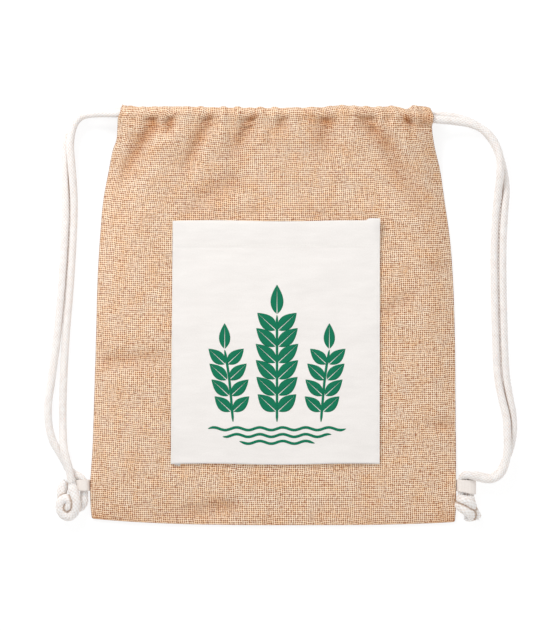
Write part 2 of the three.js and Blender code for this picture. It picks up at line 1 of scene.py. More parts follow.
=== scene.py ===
import bpy
import numpy as np
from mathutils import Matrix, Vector


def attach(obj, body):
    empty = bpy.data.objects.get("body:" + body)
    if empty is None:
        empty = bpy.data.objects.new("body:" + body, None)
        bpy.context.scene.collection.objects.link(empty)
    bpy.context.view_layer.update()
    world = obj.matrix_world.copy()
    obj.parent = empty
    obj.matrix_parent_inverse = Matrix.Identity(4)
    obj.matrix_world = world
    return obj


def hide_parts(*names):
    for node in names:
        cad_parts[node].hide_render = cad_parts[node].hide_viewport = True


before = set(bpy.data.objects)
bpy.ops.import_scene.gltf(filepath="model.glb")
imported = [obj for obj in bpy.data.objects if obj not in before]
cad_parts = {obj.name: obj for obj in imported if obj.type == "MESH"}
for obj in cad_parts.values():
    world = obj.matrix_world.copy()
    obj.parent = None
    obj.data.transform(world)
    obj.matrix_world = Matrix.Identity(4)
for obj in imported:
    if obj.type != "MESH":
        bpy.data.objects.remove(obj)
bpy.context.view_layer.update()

# The view. The bag lies face up and is seen from straight above, from far enough away
# that its raised mouth isn't drawn larger than its bottom.
PHOTO_WIDTH = 0.5264  # metres across the picture, at the height of the bag's front
FRONT_HEIGHT = 0.012
CAMERA_HEIGHT = 4.0
CAMERA_Y = -0.0012
SENSOR_WIDTH = 36
camera_data = bpy.data.cameras.new("camera")
camera_data.sensor_fit = "HORIZONTAL"
camera_data.sensor_width = SENSOR_WIDTH
camera_data.lens = SENSOR_WIDTH * (CAMERA_HEIGHT - FRONT_HEIGHT) / PHOTO_WIDTH
camera_data.clip_end = 20
camera = bpy.data.objects.new("camera", camera_data)
camera.location = (0, CAMERA_Y, CAMERA_HEIGHT)
bpy.context.scene.collection.objects.link(camera)
bpy.context.scene.camera = camera


# The cords. Each is one braid of white cotton that comes out of a casing at both sides of
# the mouth, lies loose beside the bag and runs through or past a side loop into a knot.
CORD_RADIUS = 0.0038
BRAID_STRANDS = 8  # strands that turn each way round the cord
BRAID_LAY = 0.0036  # how far along the cord a strand goes past one of the others
BRAID_DEPTH = 0.00055  # how deep the gaps between strands are
BRAID_CREST = 0.0001  # how far the strands stand out past the cord's radius
RING_SIDES = 48
RING_STEP = 0.0008
STRETCH_POINTS = 24  # points worked out between two of a route's own
# Painted shade darkens the cords' colour where another stretch of cord lies near, within the two reaches
# below.
CREASE_REACH = 0.002  # how wide a gap between two cords still looks like a crease
NEIGHBOUR_REACH = 4 * CORD_RADIUS  # how near another stretch of cord has to be to matter
CAP_REACH = 0.0006  # how far a cord's closed end rounds out past its path

FRONT_ROUTE = [
    (-0.1946, -0.161, 0.0119),
    (-0.1972, -0.1475, 0.0122),
    (-0.2003, -0.1365, 0.0119),
    (-0.2025, -0.126, 0.0094),
    (-0.2035, -0.109, 0.0044),
    (-0.2035, -0.082, 0.0038),
    (-0.2009, -0.0265, 0.0038),
    (-0.1962, 0.033, 0.0038),
    (-0.1929, 0.1, 0.0038),
    (-0.1934, 0.1235, 0.0066),
    (-0.195, 0.1455, 0.01),
    (-0.196, 0.164, 0.0114),
    (-0.1925, 0.181, 0.0117),
    (-0.186, 0.189, 0.012),
    (-0.177, 0.1915, 0.0134),
    (-0.1485, 0.192, 0.0176),
    (-0.125, 0.192, 0.0228),
    (-0.09, 0.192, 0.0264),
    (0., 0.191, 0.0272),
    (0.09, 0.1925, 0.0264),
    (0.125, 0.19, 0.0228),
    (0.151, 0.1865, 0.0176),
    (0.1725, 0.1845, 0.0142),
    (0.1905, 0.181, 0.0121),
    (0.204, 0.173, 0.0117),
    (0.212, 0.161, 0.0117),
    (0.2155, 0.1475, 0.0117),
    (0.2155, 0.134, 0.0112),
    (0.2139, 0.117, 0.0068),
    (0.2119, 0.095, 0.0038),
    (0.2104, 0.057, 0.0038),
    (0.2119, -0.0245, 0.0038),
    (0.2139, -0.061, 0.0038),
    (0.2178, -0.0821, 0.006),
    (0.2203, -0.0926, 0.0072),
    (0.222, -0.1025, 0.0082),
    (0.2224, -0.1117, 0.0091),
    (0.2226, -0.1213, 0.0104),
    (0.2224, -0.1299, 0.0113),
    (0.2209, -0.1414, 0.0117),
    (0.2166, -0.1521, 0.0117),
    (0.2105, -0.1569, 0.0116),
    (0.2038, -0.1582, 0.0115),
    (0.1971, -0.1569, 0.0117),
    (0.1894, -0.1547, 0.0128),
    (0.183, -0.1537, 0.0108),
    (0.1797, -0.1566, 0.0062),
    (0.1792, -0.1625, 0.0055),
    (0.1792, -0.172, 0.0055),
]
BACK_ROUTE = [
    (-0.183, -0.1732, 0.0055),
    (-0.1831, -0.1645, 0.0055),
    (-0.1844, -0.1589, 0.0053),
    (-0.1882, -0.1553, 0.0047),
    (-0.1932, -0.1526, 0.0041),
    (-0.1978, -0.1486, 0.0038),
    (-0.2015, -0.1415, 0.0038),
    (-0.207, -0.132, 0.0038),
    (-0.2135, -0.1205, 0.0038),
    (-0.217, -0.105, 0.0038),
    (-0.2175, -0.087, 0.0038),
    (-0.214, -0.061, 0.0038),
    (-0.2095, -0.0265, 0.0038),
    (-0.204, 0.033, 0.0038),
    (-0.2008, 0.095, 0.0038),
    (-0.2008, 0.1285, 0.0038),
    (-0.2005, 0.157, 0.0038),
    (-0.198, 0.174, 0.0038),
    (-0.1925, 0.185, 0.0038),
    (-0.1845, 0.192, 0.0038),
    (-0.174, 0.1946, 0.0039),
    (-0.1485, 0.195, 0.0058),
    (-0.13, 0.1925, 0.0058),
    (0., 0.1905, 0.0058),
    (0.13, 0.1907, 0.0058),
    (0.151, 0.1907, 0.0058),
    (0.1695, 0.1895, 0.0042),
    (0.1845, 0.1855, 0.0038),
    (0.198, 0.178, 0.0038),
    (0.208, 0.167, 0.0038),
    (0.215, 0.1525, 0.0038),
    (0.2195, 0.136, 0.0038),
    (0.2215, 0.119, 0.0038),
    (0.22, 0.098, 0.0038),
    (0.2183, 0.0615, 0.0038),
    (0.2196, -0.02, 0.0038),
    (0.2216, -0.059, 0.0038),
    (0.2253, -0.0821, 0.0038),
    (0.2274, -0.0926, 0.0038),
    (0.2286, -0.1089, 0.0038),
    (0.2272, -0.1213, 0.0038),
    (0.2251, -0.1299, 0.0038),
    (0.2205, -0.1414, 0.0038),
    (0.2155, -0.151, 0.0038),
    (0.2067, -0.1563, 0.0038),
    (0.1981, -0.1553, 0.0038),
    (0.1928, -0.154, 0.0039),
    (0.1883, -0.156, 0.0049),
    (0.1872, -0.161, 0.0056),
    (0.1871, -0.172, 0.0056),
]


def travelled(points):
    """The distance to each point, along the line from the first of them."""
    return np.concatenate([[0], np.cumsum(np.linalg.norm(np.diff(points, axis=0), axis=1))])


def smooth_path(route, step):
    """Points a step apart on a smooth curve through the route's points."""
    points = np.array(route, float)
    points = np.vstack([2 * points[0] - points[1], points, 2 * points[-1] - points[-2]])
    gaps = np.linalg.norm(np.diff(points, axis=0), axis=1)
    times = np.concatenate([[0], np.cumsum(np.sqrt(gaps))])
    dense = []
    for i in range(1, len(points) - 2):
        a, b, c, d = points[i - 1 : i + 3]
        ta, tb, tc, td = times[i - 1 : i + 3]
        t = np.linspace(tb, tc, STRETCH_POINTS, endpoint=False)[:, None]
        ab = ((tb - t) * a + (t - ta) * b) / (tb - ta)
        bc = ((tc - t) * b + (t - tb) * c) / (tc - tb)
        cd = ((td - t) * c + (t - tc) * d) / (td - tc)
        abc = ((tc - t) * ab + (t - ta) * bc) / (tc - ta)
        bcd = ((td - t) * bc + (t - tb) * cd) / (td - tb)
        dense.append(((tc - t) * abc + (t - tb) * bcd) / (tc - tb))
    dense = np.vstack([*dense, points[-2:-1]])
    gone = travelled(dense)
    places = np.linspace(0, gone[-1], max(2, round(gone[-1] / step)) + 1)
    return np.column_stack([np.interp(places, gone, dense[:, k]) for k in range(3)])


def unit(vectors):
    return vectors / np.maximum(np.linalg.norm(vectors, axis=-1, keepdims=True), 1e-12)


def eased(value, low, high):
    t = np.clip((value - low) / (high - low), 0, 1)
    return t * t * (3 - 2 * t)


def grid_faces(rows, columns, around=False):
    """Quads between the points of a grid, joined across its last column if it goes around."""
    last = columns if around else columns - 1
    i, j = np.meshgrid(np.arange(rows - 1), np.arange(last), indexing="ij")
    k = (j + 1) % columns
    quads = [i * columns + j, i * columns + k, (i + 1) * columns + k, (i + 1) * columns + j]
    return np.stack(quads, axis=-1).reshape(-1, 4)


def free_of_others(path, rings, radius, others):
    """1 where a cord's surface lies free, down to 0 where it touches another stretch of cord; the colour
    takes this as painted shade.
    """
    free = np.ones(rings.shape[:2])
    places = np.arange(len(path)) * RING_STEP
    for i, centre in enumerate(path):
        apart = np.abs(places - places[i]) > NEIGHBOUR_REACH
        near = np.vstack([path[apart], *others])
        near = near[np.linalg.norm(near - centre, axis=1) < NEIGHBOUR_REACH]
        if len(near):
            away = np.linalg.norm(rings[i][:, None] - near, axis=2).min(axis=1)
            free[i] = eased(away, radius, radius + CREASE_REACH)
    return free


def braid(path, radius, others):
    """The points, faces, texture places and painted shade of a cord's braid along close points, the shade
    deeper in the gaps between strands and where it touches other cord.
    """
    tangents = unit(np.gradient(path, axis=0))
    side = unit(np.cross(tangents[0], (0.0, 0.0, 1.0)))
    sides = []
    for tangent in tangents:
        side = unit(side - tangent * np.dot(side, tangent))
        sides.append(side)
    sides = np.array(sides)
    ups = np.cross(tangents, sides)
    lengths = travelled(path)
    turns = np.arange(RING_SIDES) / RING_SIDES
    one_way = BRAID_STRANDS * turns[None, :] + lengths[:, None] / BRAID_LAY
    other_way = BRAID_STRANDS * turns[None, :] - lengths[:, None] / BRAID_LAY
    crossing = np.sin(np.pi * one_way) * np.sin(np.pi * other_way)
    dome = np.sqrt(np.abs(crossing))
    reach = radius + BRAID_CREST - BRAID_DEPTH * (1 - dome)
    angles = 2 * np.pi * turns
    cosines, sines = np.cos(angles)[None, :, None], np.sin(angles)[None, :, None]
    around = cosines * sides[:, None] + sines * ups[:, None]
    ring = path[:, None] + around * reach[..., None]
    first_end, last_end = path[0] - tangents[0] * CAP_REACH, path[-1] + tangents[-1] * CAP_REACH
    points = np.vstack([ring.reshape(-1, 3), first_end, last_end])
    last = (len(path) - 1) * RING_SIDES
    first_cap, last_cap = len(points) - 2, len(points) - 1
    faces = grid_faces(len(path), RING_SIDES, around=True)[:, ::-1].tolist()
    for k in range(RING_SIDES):
        after = (k + 1) % RING_SIDES
        faces.append((first_cap, k, after))
        faces.append((last_cap, last + after, last + k))
    places = np.stack(np.broadcast_arrays(turns[None, :] * 2 * np.pi * radius, lengths[:, None]), axis=-1)
    places = np.vstack([places.reshape(-1, 2), [(0, 0), (0, lengths[-1])]])
    relief_and_painted_shade = ((0.4 + 0.6 * dome) * free_of_others(path, ring, np.max(radius), others)).ravel()
    return points, faces, places, np.concatenate([relief_and_painted_shade, [0.3, 0.3]])


def mesh_piece(name, points, faces, places, material, relief_and_painted_shade=None):
    """A smooth mesh whose texture places are lengths of cloth or cord, in metres."""
    mesh = bpy.data.meshes.new(name)
    faces = [tuple(face) for face in faces]
    mesh.from_pydata([tuple(p) for p in points], [], faces)
    layer = mesh.uv_layers.new(name="weave")
    corners = np.empty(len(mesh.loops), np.int32)
    mesh.loops.foreach_get("vertex_index", corners)
    layer.data.foreach_set("uv", np.asarray(places, np.float32)[corners].ravel())
    if relief_and_painted_shade is not None:
        attribute = mesh.attributes.new("relief_and_painted_shade", "FLOAT", "POINT")
        attribute.data.foreach_set("value", np.asarray(relief_and_painted_shade, np.float32))
    mesh.polygons.foreach_set("use_smooth", np.ones(len(mesh.polygons), bool))
    mesh.materials.append(material)
    mesh.update()
    made = bpy.data.objects.new(name, mesh)
    bpy.context.scene.collection.objects.link(made)
    return made


class Nodes:
    """The nodes of one material, with short ways to add to them."""

    def __init__(self, tree):
        self.tree = tree
        self.shader = tree.nodes["Principled BSDF"]

    def add(self, kind, inputs, **settings):
        """A node with its inputs set, or linked where a value is another node's socket."""
        made = self.tree.nodes.new(kind)
        for key, value in settings.items():
            setattr(made, key, value)
        for key, value in inputs.items():
            if isinstance(value, bpy.types.NodeSocket):
                self.tree.links.new(value, made.inputs[key])
            else:
                made.inputs[key].default_value = value
        return made

    def maths(self, operation, *values):
        return self.add("ShaderNodeMath", dict(enumerate(values)), operation=operation).outputs[0]

    def mixed(self, share, one, other, blend="MIX"):
        colours = {0: share, 6: one, 7: other}
        return self.add("ShaderNodeMix", colours, data_type="RGBA", blend_type=blend).outputs[2]

    def relief_and_painted_shade(self):
        """The painted shade that is stored with each point of a mesh, worked out from its relief."""
        return self.add("ShaderNodeAttribute", {}, attribute_name="relief_and_painted_shade").outputs["Fac"]

    def places(self):
        """Where a point lies on its cloth or cord, in metres."""
        return self.add("ShaderNodeUVMap", {}, uv_map="weave").outputs[0]

    def both_ways(self, places):
        """How far across and how far along its cloth each place lies."""
        split = self.add("ShaderNodeSeparateXYZ", {"Vector": places})
        return split.outputs[0], split.outputs[1]

    def noise(self, places, spots, detail, start=0.0):
        """Chance unevenness with so many spots a metre each way, from a start of its own."""
        stretch = {"Vector": places, "Scale": spots, "Location": (start, start, 0)}
        grain = self.add("ShaderNodeMapping", stretch).outputs[0]
        made = self.add("ShaderNodeTexNoise", {"Vector": grain, "Scale": 1.0, "Detail": detail})
        return made.outputs[0]

    def thread_wave(self, place, spacing):
        """0 between two threads and 1 on top of each, with a thread at every spacing."""
        turn = self.maths("MULTIPLY", place, np.pi / spacing)
        return self.maths("ABSOLUTE", self.maths("SINE", turn))

    def dome(self, waves):
        """How high a weave stands, from the waves of its threads each way."""
        return self.maths("POWER", self.maths("MULTIPLY", *waves), 0.5)

    def shades(self, tone, dark, light):
        """The colour of a tone, from the tones and the colours of a dark and a light end."""
        ramp = self.add("ShaderNodeValToRGB", {"Fac": tone})
        for end, (place, colour) in zip(ramp.color_ramp.elements, (dark, light)):
            end.position = place
            end.color = colour
        return ramp.outputs[0]

    def colour(self, socket):
        self.tree.links.new(socket, self.shader.inputs["Base Color"])

    def bump(self, height, strength, distance):
        """Relief too fine for the mesh, as the light sees it."""
        relief_and_painted_shade = {"Height": height, "Strength": strength, "Distance": distance}
        made = self.add("ShaderNodeBump", relief_and_painted_shade).outputs[0]
        self.tree.links.new(made, self.shader.inputs["Normal"])


def new_material(name):
    """A material, its surface shader, and its nodes."""
    material = bpy.data.materials.new(name)
    material.use_nodes = True
    nodes = Nodes(material.node_tree)
    return material, nodes.shader, nodes


cord_cotton, shader, nodes = new_material("cord_cotton")
places = nodes.places()
fibres = nodes.noise(places, (2600, 500, 1), 3.0)
patches = nodes.noise(places, (160, 130, 1), 2.0)
uneven = nodes.maths("MULTIPLY_ADD", patches, 0.5, nodes.maths("MULTIPLY", fibres, 0.3))
# Painted shade: the cotton is darker and warmer in the gaps of its braid and where cords touch, and it is
# also uneven at random.
depth = nodes.maths("MULTIPLY_ADD", uneven, 0.7, nodes.maths("MULTIPLY", nodes.relief_and_painted_shade(), 0.8))
shades = nodes.shades(depth, (0.25, (0.48, 0.32, 0.22, 1)), (0.95, (0.905, 0.88, 0.862, 1)))
nodes.colour(nodes.mixed(nodes.maths("MULTIPLY", patches, 0.3), shades, (0.9, 0.86, 0.82, 1)))
nodes.bump(fibres, 0.5, 0.0003)
shader.inputs["Roughness"].default_value = 0.9
shader.inputs["Subsurface Weight"].default_value = 0.4
shader.inputs["Subsurface Radius"].default_value = (0.003, 0.0028, 0.0026)
shader.inputs["Subsurface Scale"].default_value = 1.0
shader.inputs["Specular IOR Level"].default_value = 0.2

paths = [smooth_path(route, RING_STEP) for route in (FRONT_ROUTE, BACK_ROUTE)]
for name, path, other in zip(("cord_front", "cord_back"), paths, paths[::-1]):
    points, faces, places, relief_and_painted_shade = braid(path, CORD_RADIUS, [other])
    cord = mesh_piece(name + "_braid", points, faces, places, cord_cotton, relief_and_painted_shade)
    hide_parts(name)
    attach(cord, "root")


# The knots. Below each side loop the ends of both cords are knotted together by hand, so
# that they can't slip back through the loop. The cut ends stick out and fray a little.
LEFT_KNOT = [
    [
        (-0.1945, -0.1616, 0.0119),
        (-0.1941, -0.1636, 0.012),
        (-0.193, -0.1686, 0.013),
        (-0.1912, -0.1755, 0.014),
        (-0.1906, -0.1832, 0.0134),
        (-0.1928, -0.1898, 0.0114),
        (-0.1976, -0.1934, 0.0098),
        (-0.203, -0.1908, 0.0096),
        (-0.2053, -0.185, 0.01),
        (-0.2042, -0.1795, 0.0108),
        (-0.2004, -0.1768, 0.0118),
        (-0.1964, -0.179, 0.0122),
        (-0.1966, -0.1835, 0.0116),
        (-0.1998, -0.1858, 0.0092),
    ],
    [
        (-0.183, -0.1737, 0.0055),
        (-0.183, -0.1754, 0.0055),
        (-0.1839, -0.1795, 0.005),
        (-0.1868, -0.1842, 0.0046),
        (-0.192, -0.1858, 0.0058),
        (-0.1975, -0.184, 0.0072),
        (-0.202, -0.1796, 0.0074),
        (-0.2042, -0.1734, 0.0058),
        (-0.2034, -0.167, 0.0046),
        (-0.2004, -0.1612, 0.0038),
    ],
]
RIGHT_KNOT = [
    [
        (0.1792, -0.1725, 0.0055),
        (0.1792, -0.1741, 0.0055),
        (0.1782, -0.1774, 0.0085),
        (0.1799, -0.1779, 0.0127),
        (0.1846, -0.1789, 0.0149),
        (0.1876, -0.1826, 0.0128),
        (0.1886, -0.1855, 0.0082),
        (0.1861, -0.1866, 0.0048),
        (0.1808, -0.1846, 0.0042),
        (0.1774, -0.1826, 0.0066),
        (0.1772, -0.1834, 0.01),
        (0.1803, -0.1858, 0.013),
        (0.185, -0.1888, 0.0128),
        (0.1882, -0.192, 0.0092),
        (0.1872, -0.194, 0.0052),
        (0.1836, -0.1938, 0.0039),
    ],
    [
        (0.1871, -0.1725, 0.0056),
        (0.1871, -0.1741, 0.0056),
        (0.1872, -0.1785, 0.0074),
        (0.1882, -0.1845, 0.0086),
        (0.1908, -0.19, 0.0078),
        (0.1937, -0.1945, 0.0056),
    ],
]

KNOT_OVERLAP = 0.0016  # how far a strand reaches back into its cord
KNOT_INSET = 0.00015  # how much thinner a strand starts, so that it hides in its cord
KNOT_SWELL = 0.0013  # how much the cord's radius grows in a knot, where its braid bunches up
SWELL_FROM, SWELL_TO = 0.001, 0.007  # along the strand
FRAY_FIBRES = 46
FRAY_LENGTH = 0.0028
FIBRE_WIDTH = 0.0004
chance = np.random.default_rng(11)


def hair(start, onward, length, bend, width):
    """A fibre with a point, from start onwards, that bends to one side as it goes."""
    onward = unit(np.array(onward, float))
    side = unit(np.cross(onward, (0.3, 0.2, 1.0)))
    up = np.cross(onward, side)
    points, faces = [], []
    for ring, share in enumerate((0.0, 0.4, 0.75)):
        centre = start + onward * length * share + np.array(bend) * share**2
        for corner in range(3):
            angle = 2 * np.pi * corner / 3
            reach = (np.cos(angle) * side + np.sin(angle) * up) * width / 2 * (1 - 0.6 * share)
            points.append(centre + reach)
            if ring:
                first, after = 3 * ring - 3, (corner + 1) % 3
                faces.append((first + corner, first + after, first + 3 + after, first + 3 + corner))
    points.append(start + onward * length + np.array(bend))
    faces += [(6 + corner, 6 + (corner + 1) % 3, 9) for corner in range(3)] + [(2, 1, 0)]
    points = np.array(points)
    points[:, 2] = np.maximum(points[:, 2], 0.0001)
    return points, faces, points[:, :2], np.full(len(points), 0.9)


def frayed_end(path):
    """Short fibres that stand out of the cut end of a cord."""
    end, onward = path[-1], unit(path[-1] - path[-3])
    side = unit(np.cross(onward, (0.0, 0.0, 1.0)))
    up = np.cross(onward, side)
    hairs = []
    for _ in range(FRAY_FIBRES):
        turn = chance.uniform(0, 2 * np.pi)
        out = np.sqrt(chance.uniform(0, 1)) * CORD_RADIUS * 0.9
        outward = np.cos(turn) * side + np.sin(turn) * up
        length = FRAY_LENGTH * chance.uniform(0.35, 1)
        bend = outward * length * chance.uniform(-0.1, 0.4)
        hairs.append(hair(end + outward * out, onward, length, bend, FIBRE_WIDTH))
    return hairs


def join(parts):
    """One set of points, faces, texture places and painted shade out of several."""
    start, points, faces, places, relief_and_painted_shade = 0, [], [], [], []
    for part_points, part_faces, part_places, part_relief in parts:
        points.append(part_points)
        faces += [tuple(int(corner) + start for corner in face) for face in part_faces]
        places.append(part_places)
        relief_and_painted_shade.append(part_relief)
        start += len(part_points)
    return np.vstack(points), faces, np.vstack(places), np.concatenate(relief_and_painted_shade)


for name, strands in (("knot_left", LEFT_KNOT), ("knot_right", RIGHT_KNOT)):
    parts = []
    turns = [smooth_path(strand, RING_STEP) for strand in strands]
    for path, other, other_cord in zip(turns, turns[::-1], paths[::-1]):
        start = path[0] + unit(path[0] - path[1]) * KNOT_OVERLAP
        path = np.vstack([start, path])
        along = np.arange(len(path)) * RING_STEP
        swell = eased(along, SWELL_FROM, SWELL_TO) * KNOT_SWELL
        radius = CORD_RADIUS - KNOT_INSET + swell[:, None]
        parts += [braid(path, radius, [other, other_cord]), *frayed_end(path)]
    points, faces, places, relief_and_painted_shade = join(parts)
    knot = mesh_piece(name + "_braid", points, faces, places, cord_cotton, relief_and_painted_shade)
    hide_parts(name)
    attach(knot, "root")


# The back panel, one piece of jute that lies flat on the surface. Its top edge is turned
# over towards the inside and sewn down as a casing, and the cord draws gathers below it.
JUTE = 0.0012
LEAF_STEP = 0.0018  # from one leaf of a casing to the other, where they are sewn
CORD_ROOM = 0.0008
CASING_RADIUS = CORD_RADIUS + CORD_ROOM + JUTE / 2
FOLD_RADIUS = 0.0015
CASING_MIDDLE = 0.188  # height up the bag
BACK_STITCH = 0.1775
BACK_INSET = 0.0004
TURNED_END = 0.0012  # how far the end of the turned cloth reaches past the seam
SOFTNESS = 0.0004  # how softly the cloth comes to lie on what is under it
BOTTOM = -0.2022
CORNER = 0.0018
LAST_LEVEL = -0.1842  # where the rows of a panel start to follow its bottom seam
ABOVE_BOTTOM = (0.0105, 0.0088, 0.0071, 0.0055, 0.004, 0.0028, 0.0018, 0.001, 0.0004, 0.0)
DIP_HEIGHT = 0.0046
THREAD = 0.00198  # from one thread of the jute to the next
CLOTH_WIDTH = 0.345  # the width that each panel was cut to, between its side seams

# Height up the bag, left edge, right edge.
SIDES = np.array(
    [
        (-0.203, -0.175, 0.1723),
        (-0.183, -0.1768, 0.1736),
        (-0.164, -0.1772, 0.1736),
        (-0.13, -0.1749, 0.1734),
        (-0.082, -0.1732, 0.1729),
        (-0.025, -0.1714, 0.1723),
        (0.033, -0.1698, 0.1704),
        (0.071, -0.1676, 0.1675),
        (0.109, -0.1643, 0.1622),
        (0.138, -0.1589, 0.1579),
        (0.157, -0.155, 0.1532),
        (0.167, -0.1513, 0.1512),
        (0.178, -0.1503, 0.1499),
        (0.187, -0.15, 0.1512),
        (0.193, -0.1476, 0.1504),
        (0.2, -0.1469, 0.1464),
        (0.205, -0.1465, 0.1465),
    ]
)

# Where a gather starts, where it dies out, half its width, and its height.
BACK_FOLDS = [
    ((-0.128, 0.18), (-0.138, 0.128), 0.009, 0.0024),
    ((-0.084, 0.18), (-0.09, 0.135), 0.01, 0.0026),
    ((-0.038, 0.18), (-0.04, 0.14), 0.009, 0.0022),
    ((0.006, 0.18), (0.008, 0.132), 0.01, 0.0026),
    ((0.052, 0.18), (0.056, 0.138), 0.009, 0.0023),
    ((0.098, 0.18), (0.106, 0.13), 0.01, 0.0026),
    ((0.132, 0.18), (0.14, 0.14), 0.007, 0.002),
]


def smooth_read(table, column, at):
    """A column of a table, whose first column is the place, on a smooth curve."""
    places, values = table[:, 0], table[:, column]
    slopes = np.gradient(values)
    slopes[1:-1] = (values[2:] - values[:-2]) / (places[2:] - places[:-2])
    slopes[0] = (values[1] - values[0]) / (places[1] - places[0])
    slopes[-1] = (values[-1] - values[-2]) / (places[-1] - places[-2])
    at = np.clip(at, places[0], places[-1])
    i = np.clip(np.searchsorted(places, at), 1, len(places) - 1)
    span = places[i] - places[i - 1]
    t = (at - places[i - 1]) / span
    start = (2 * t**3 - 3 * t**2 + 1) * values[i - 1] + (t**3 - 2 * t**2 + t) * span * slopes[i - 1]
    return start + (3 * t**2 - 2 * t**3) * values[i] + (t**3 - t**2) * span * slopes[i]


def left_edge(y):
    return smooth_read(SIDES, 1, y)


def right_edge(y):
    return smooth_read(SIDES, 2, y)


def bottom_edge(x):
    return BOTTOM + 0.0055 * np.abs((x - 0.02) / 0.19) ** 3


def fold_height(folds, x, y):
    height = np.zeros(np.broadcast(x, y).shape)
    for (x1, y1), (x2, y2), half, lift in folds:
        dx, dy = x2 - x1, y2 - y1
        t = np.clip(((x - x1) * dx + (y - y1) * dy) / (dx * dx + dy * dy), 0, 1)
        away = np.hypot(x - x1 - t * dx, y - y1 - t * dy)
        height += lift * (1 - 0.85 * t * t) * np.exp(-((away / half) ** 2))
    return height


def dip_depth(dips, x, y):
    depth = np.zeros(np.broadcast(x, y).shape)
    for dip_x, dip_y, half, deepest, lean in dips:
        aside = (x - dip_x - lean * (y - dip_y)) / half
        depth += deepest * np.exp(-(aside**2) - ((y - dip_y) / DIP_HEIGHT) ** 2)
    return depth


def cord_centre(route, x):
    """Height up the bag and above the surface of a cord inside its casing."""
    inside = np.array([p for p in route if abs(p[0]) < 0.152 and p[1] > 0.18])
    return np.interp(x, inside[:, 0], inside[:, 1]), np.interp(x, inside[:, 0], inside[:, 2])


def casing_point(angle, cord_y, cord_z, edge):
    """The cloth drawn round its cord and round a narrower fold at the top edge."""
    ny, nz = np.cos(angle), np.sin(angle)
    base = cord_z - CASING_RADIUS
    fold_y, fold_z = edge - JUTE / 2 - FOLD_RADIUS, base + FOLD_RADIUS
    reach = cord_y * ny + cord_z * nz + CASING_RADIUS
    fold_reach = fold_y * ny + fold_z * nz + FOLD_RADIUS
    at_fold = fold_reach > reach + 1e-5
    y = np.where(at_fold, fold_y + FOLD_RADIUS * ny, cord_y + CASING_RADIUS * ny)
    z = np.where(at_fold, fold_z + FOLD_RADIUS * nz, cord_z + CASING_RADIUS * nz)
    return y, z


def crowded(count, crowding):
    """Shares from 0 to 1, closer together towards both ends."""
    t = np.linspace(0, 1, count)
    return t + (0.5 - 0.5 * np.cos(np.pi * t) - t) * crowding


def across_bag(share, y, inset):
    """Where a row crosses the bag, with the bottom corners rounded."""
    left, right = left_edge(y) + inset, right_edge(y) - inset
    x = left + (right - left) * share
    above = np.clip(y - inset - bottom_edge(x), 0, CORNER)
    corner = CORNER - np.sqrt(CORNER**2 - (CORNER - above) ** 2)
    return left + corner + (right - left - 2 * corner) * share


def below_seam(shares, levels, inset, height):
    """Rows of a panel at the levels below its casing, and on down to the bottom seam."""
    rows = []
    for y in levels:
        x = across_bag(shares, np.full_like(shares, y), inset)
        rows.append(np.column_stack([x, np.full_like(x, y), height(x, y + 0 * x)]))
    guess = left_edge(-0.19) + (right_edge(-0.19) - left_edge(-0.19)) * shares
    for above in ABOVE_BOTTOM:
        y = bottom_edge(guess) + inset + above
        x = across_bag(shares, y, inset)
        rows.append(np.column_stack([x, y, height(x, y)]))
    return rows


def across_casing(shares, inset):
    """Where the lines down a panel cross the bag, halfway up its casing."""
    left, right = left_edge(CASING_MIDDLE) + inset, right_edge(CASING_MIDDLE) - inset
    return left + (right - left) * shares


def casing(shares, inset, cord, stitch, edge, lower, waves, dips=()):
    """Rows of a casing, from its lower leaf round the cord to its upper leaf at the seam."""
    x = across_casing(shares, inset)
    cord_y, cord_z = cord
    base, crest = cord_z - CASING_RADIUS, cord_z + CASING_RADIUS
    upper = lower + LEAF_STEP

    def row(y, z):
        left, right = left_edge(y) + inset, right_edge(y) - inset
        return np.column_stack([left + (right - left) * shares, y, z])

    def lower_leaf(y):
        return lower + (base - lower) * eased(y, stitch - TURNED_END, cord_y)

    rows = []
    for share in np.linspace(0, 0.9, 7):
        y = stitch - TURNED_END + (cord_y - stitch + TURNED_END) * share
        rows.append(row(y, lower_leaf(y)))
    for angle in np.radians(np.linspace(-90, 90, 19)):
        y, z = casing_point(angle, cord_y, cord_z, edge)
        out = waves * eased(angle, -0.5, 0.3)
        rows.append(row(y + np.cos(angle) * out, z + np.sin(angle) * out))
    for share in np.linspace(0, 1, 17)[1:]:
        y = cord_y + (stitch - cord_y) * share
        fall = eased(share, 0, 1)
        z = crest + (upper - crest) * fall + waves * (1 - fall)
        z = z - dip_depth(dips, x, y) * (1 - eased(share, 0.7, 1))
        over_cord = cord_z + np.sqrt(np.maximum((CORD_RADIUS + JUTE) ** 2 - (cord_y - y) ** 2, 0))
        lowest = np.maximum(over_cord, lower_leaf(y) + 1.25 * JUTE)
        rows.append(row(y, lowest + np.logaddexp(0, (z - lowest) / SOFTNESS) * SOFTNESS))
    rows[-1][:, 2] = upper
    return rows


def closed_sheet(upper, lower):
    """The points and faces of a sheet between two grids of points, closed round its edge."""
    rows, columns = upper.shape[:2]
    count = rows * columns
    faces = grid_faces(rows, columns)
    edge = np.concatenate(
        [
            np.arange(columns),
            np.arange(2, rows + 1) * columns - 1,
            (rows - 1) * columns + np.arange(columns - 2, -1, -1),
            np.arange(rows - 2, 0, -1) * columns,
        ]
    )
    after = np.roll(edge, -1)
    rim = np.column_stack([after, edge, edge + count, after + count])
    points = np.vstack([upper.reshape(-1, 3), lower.reshape(-1, 3)])
    return points, np.vstack([faces, faces[:, ::-1] + count, rim])


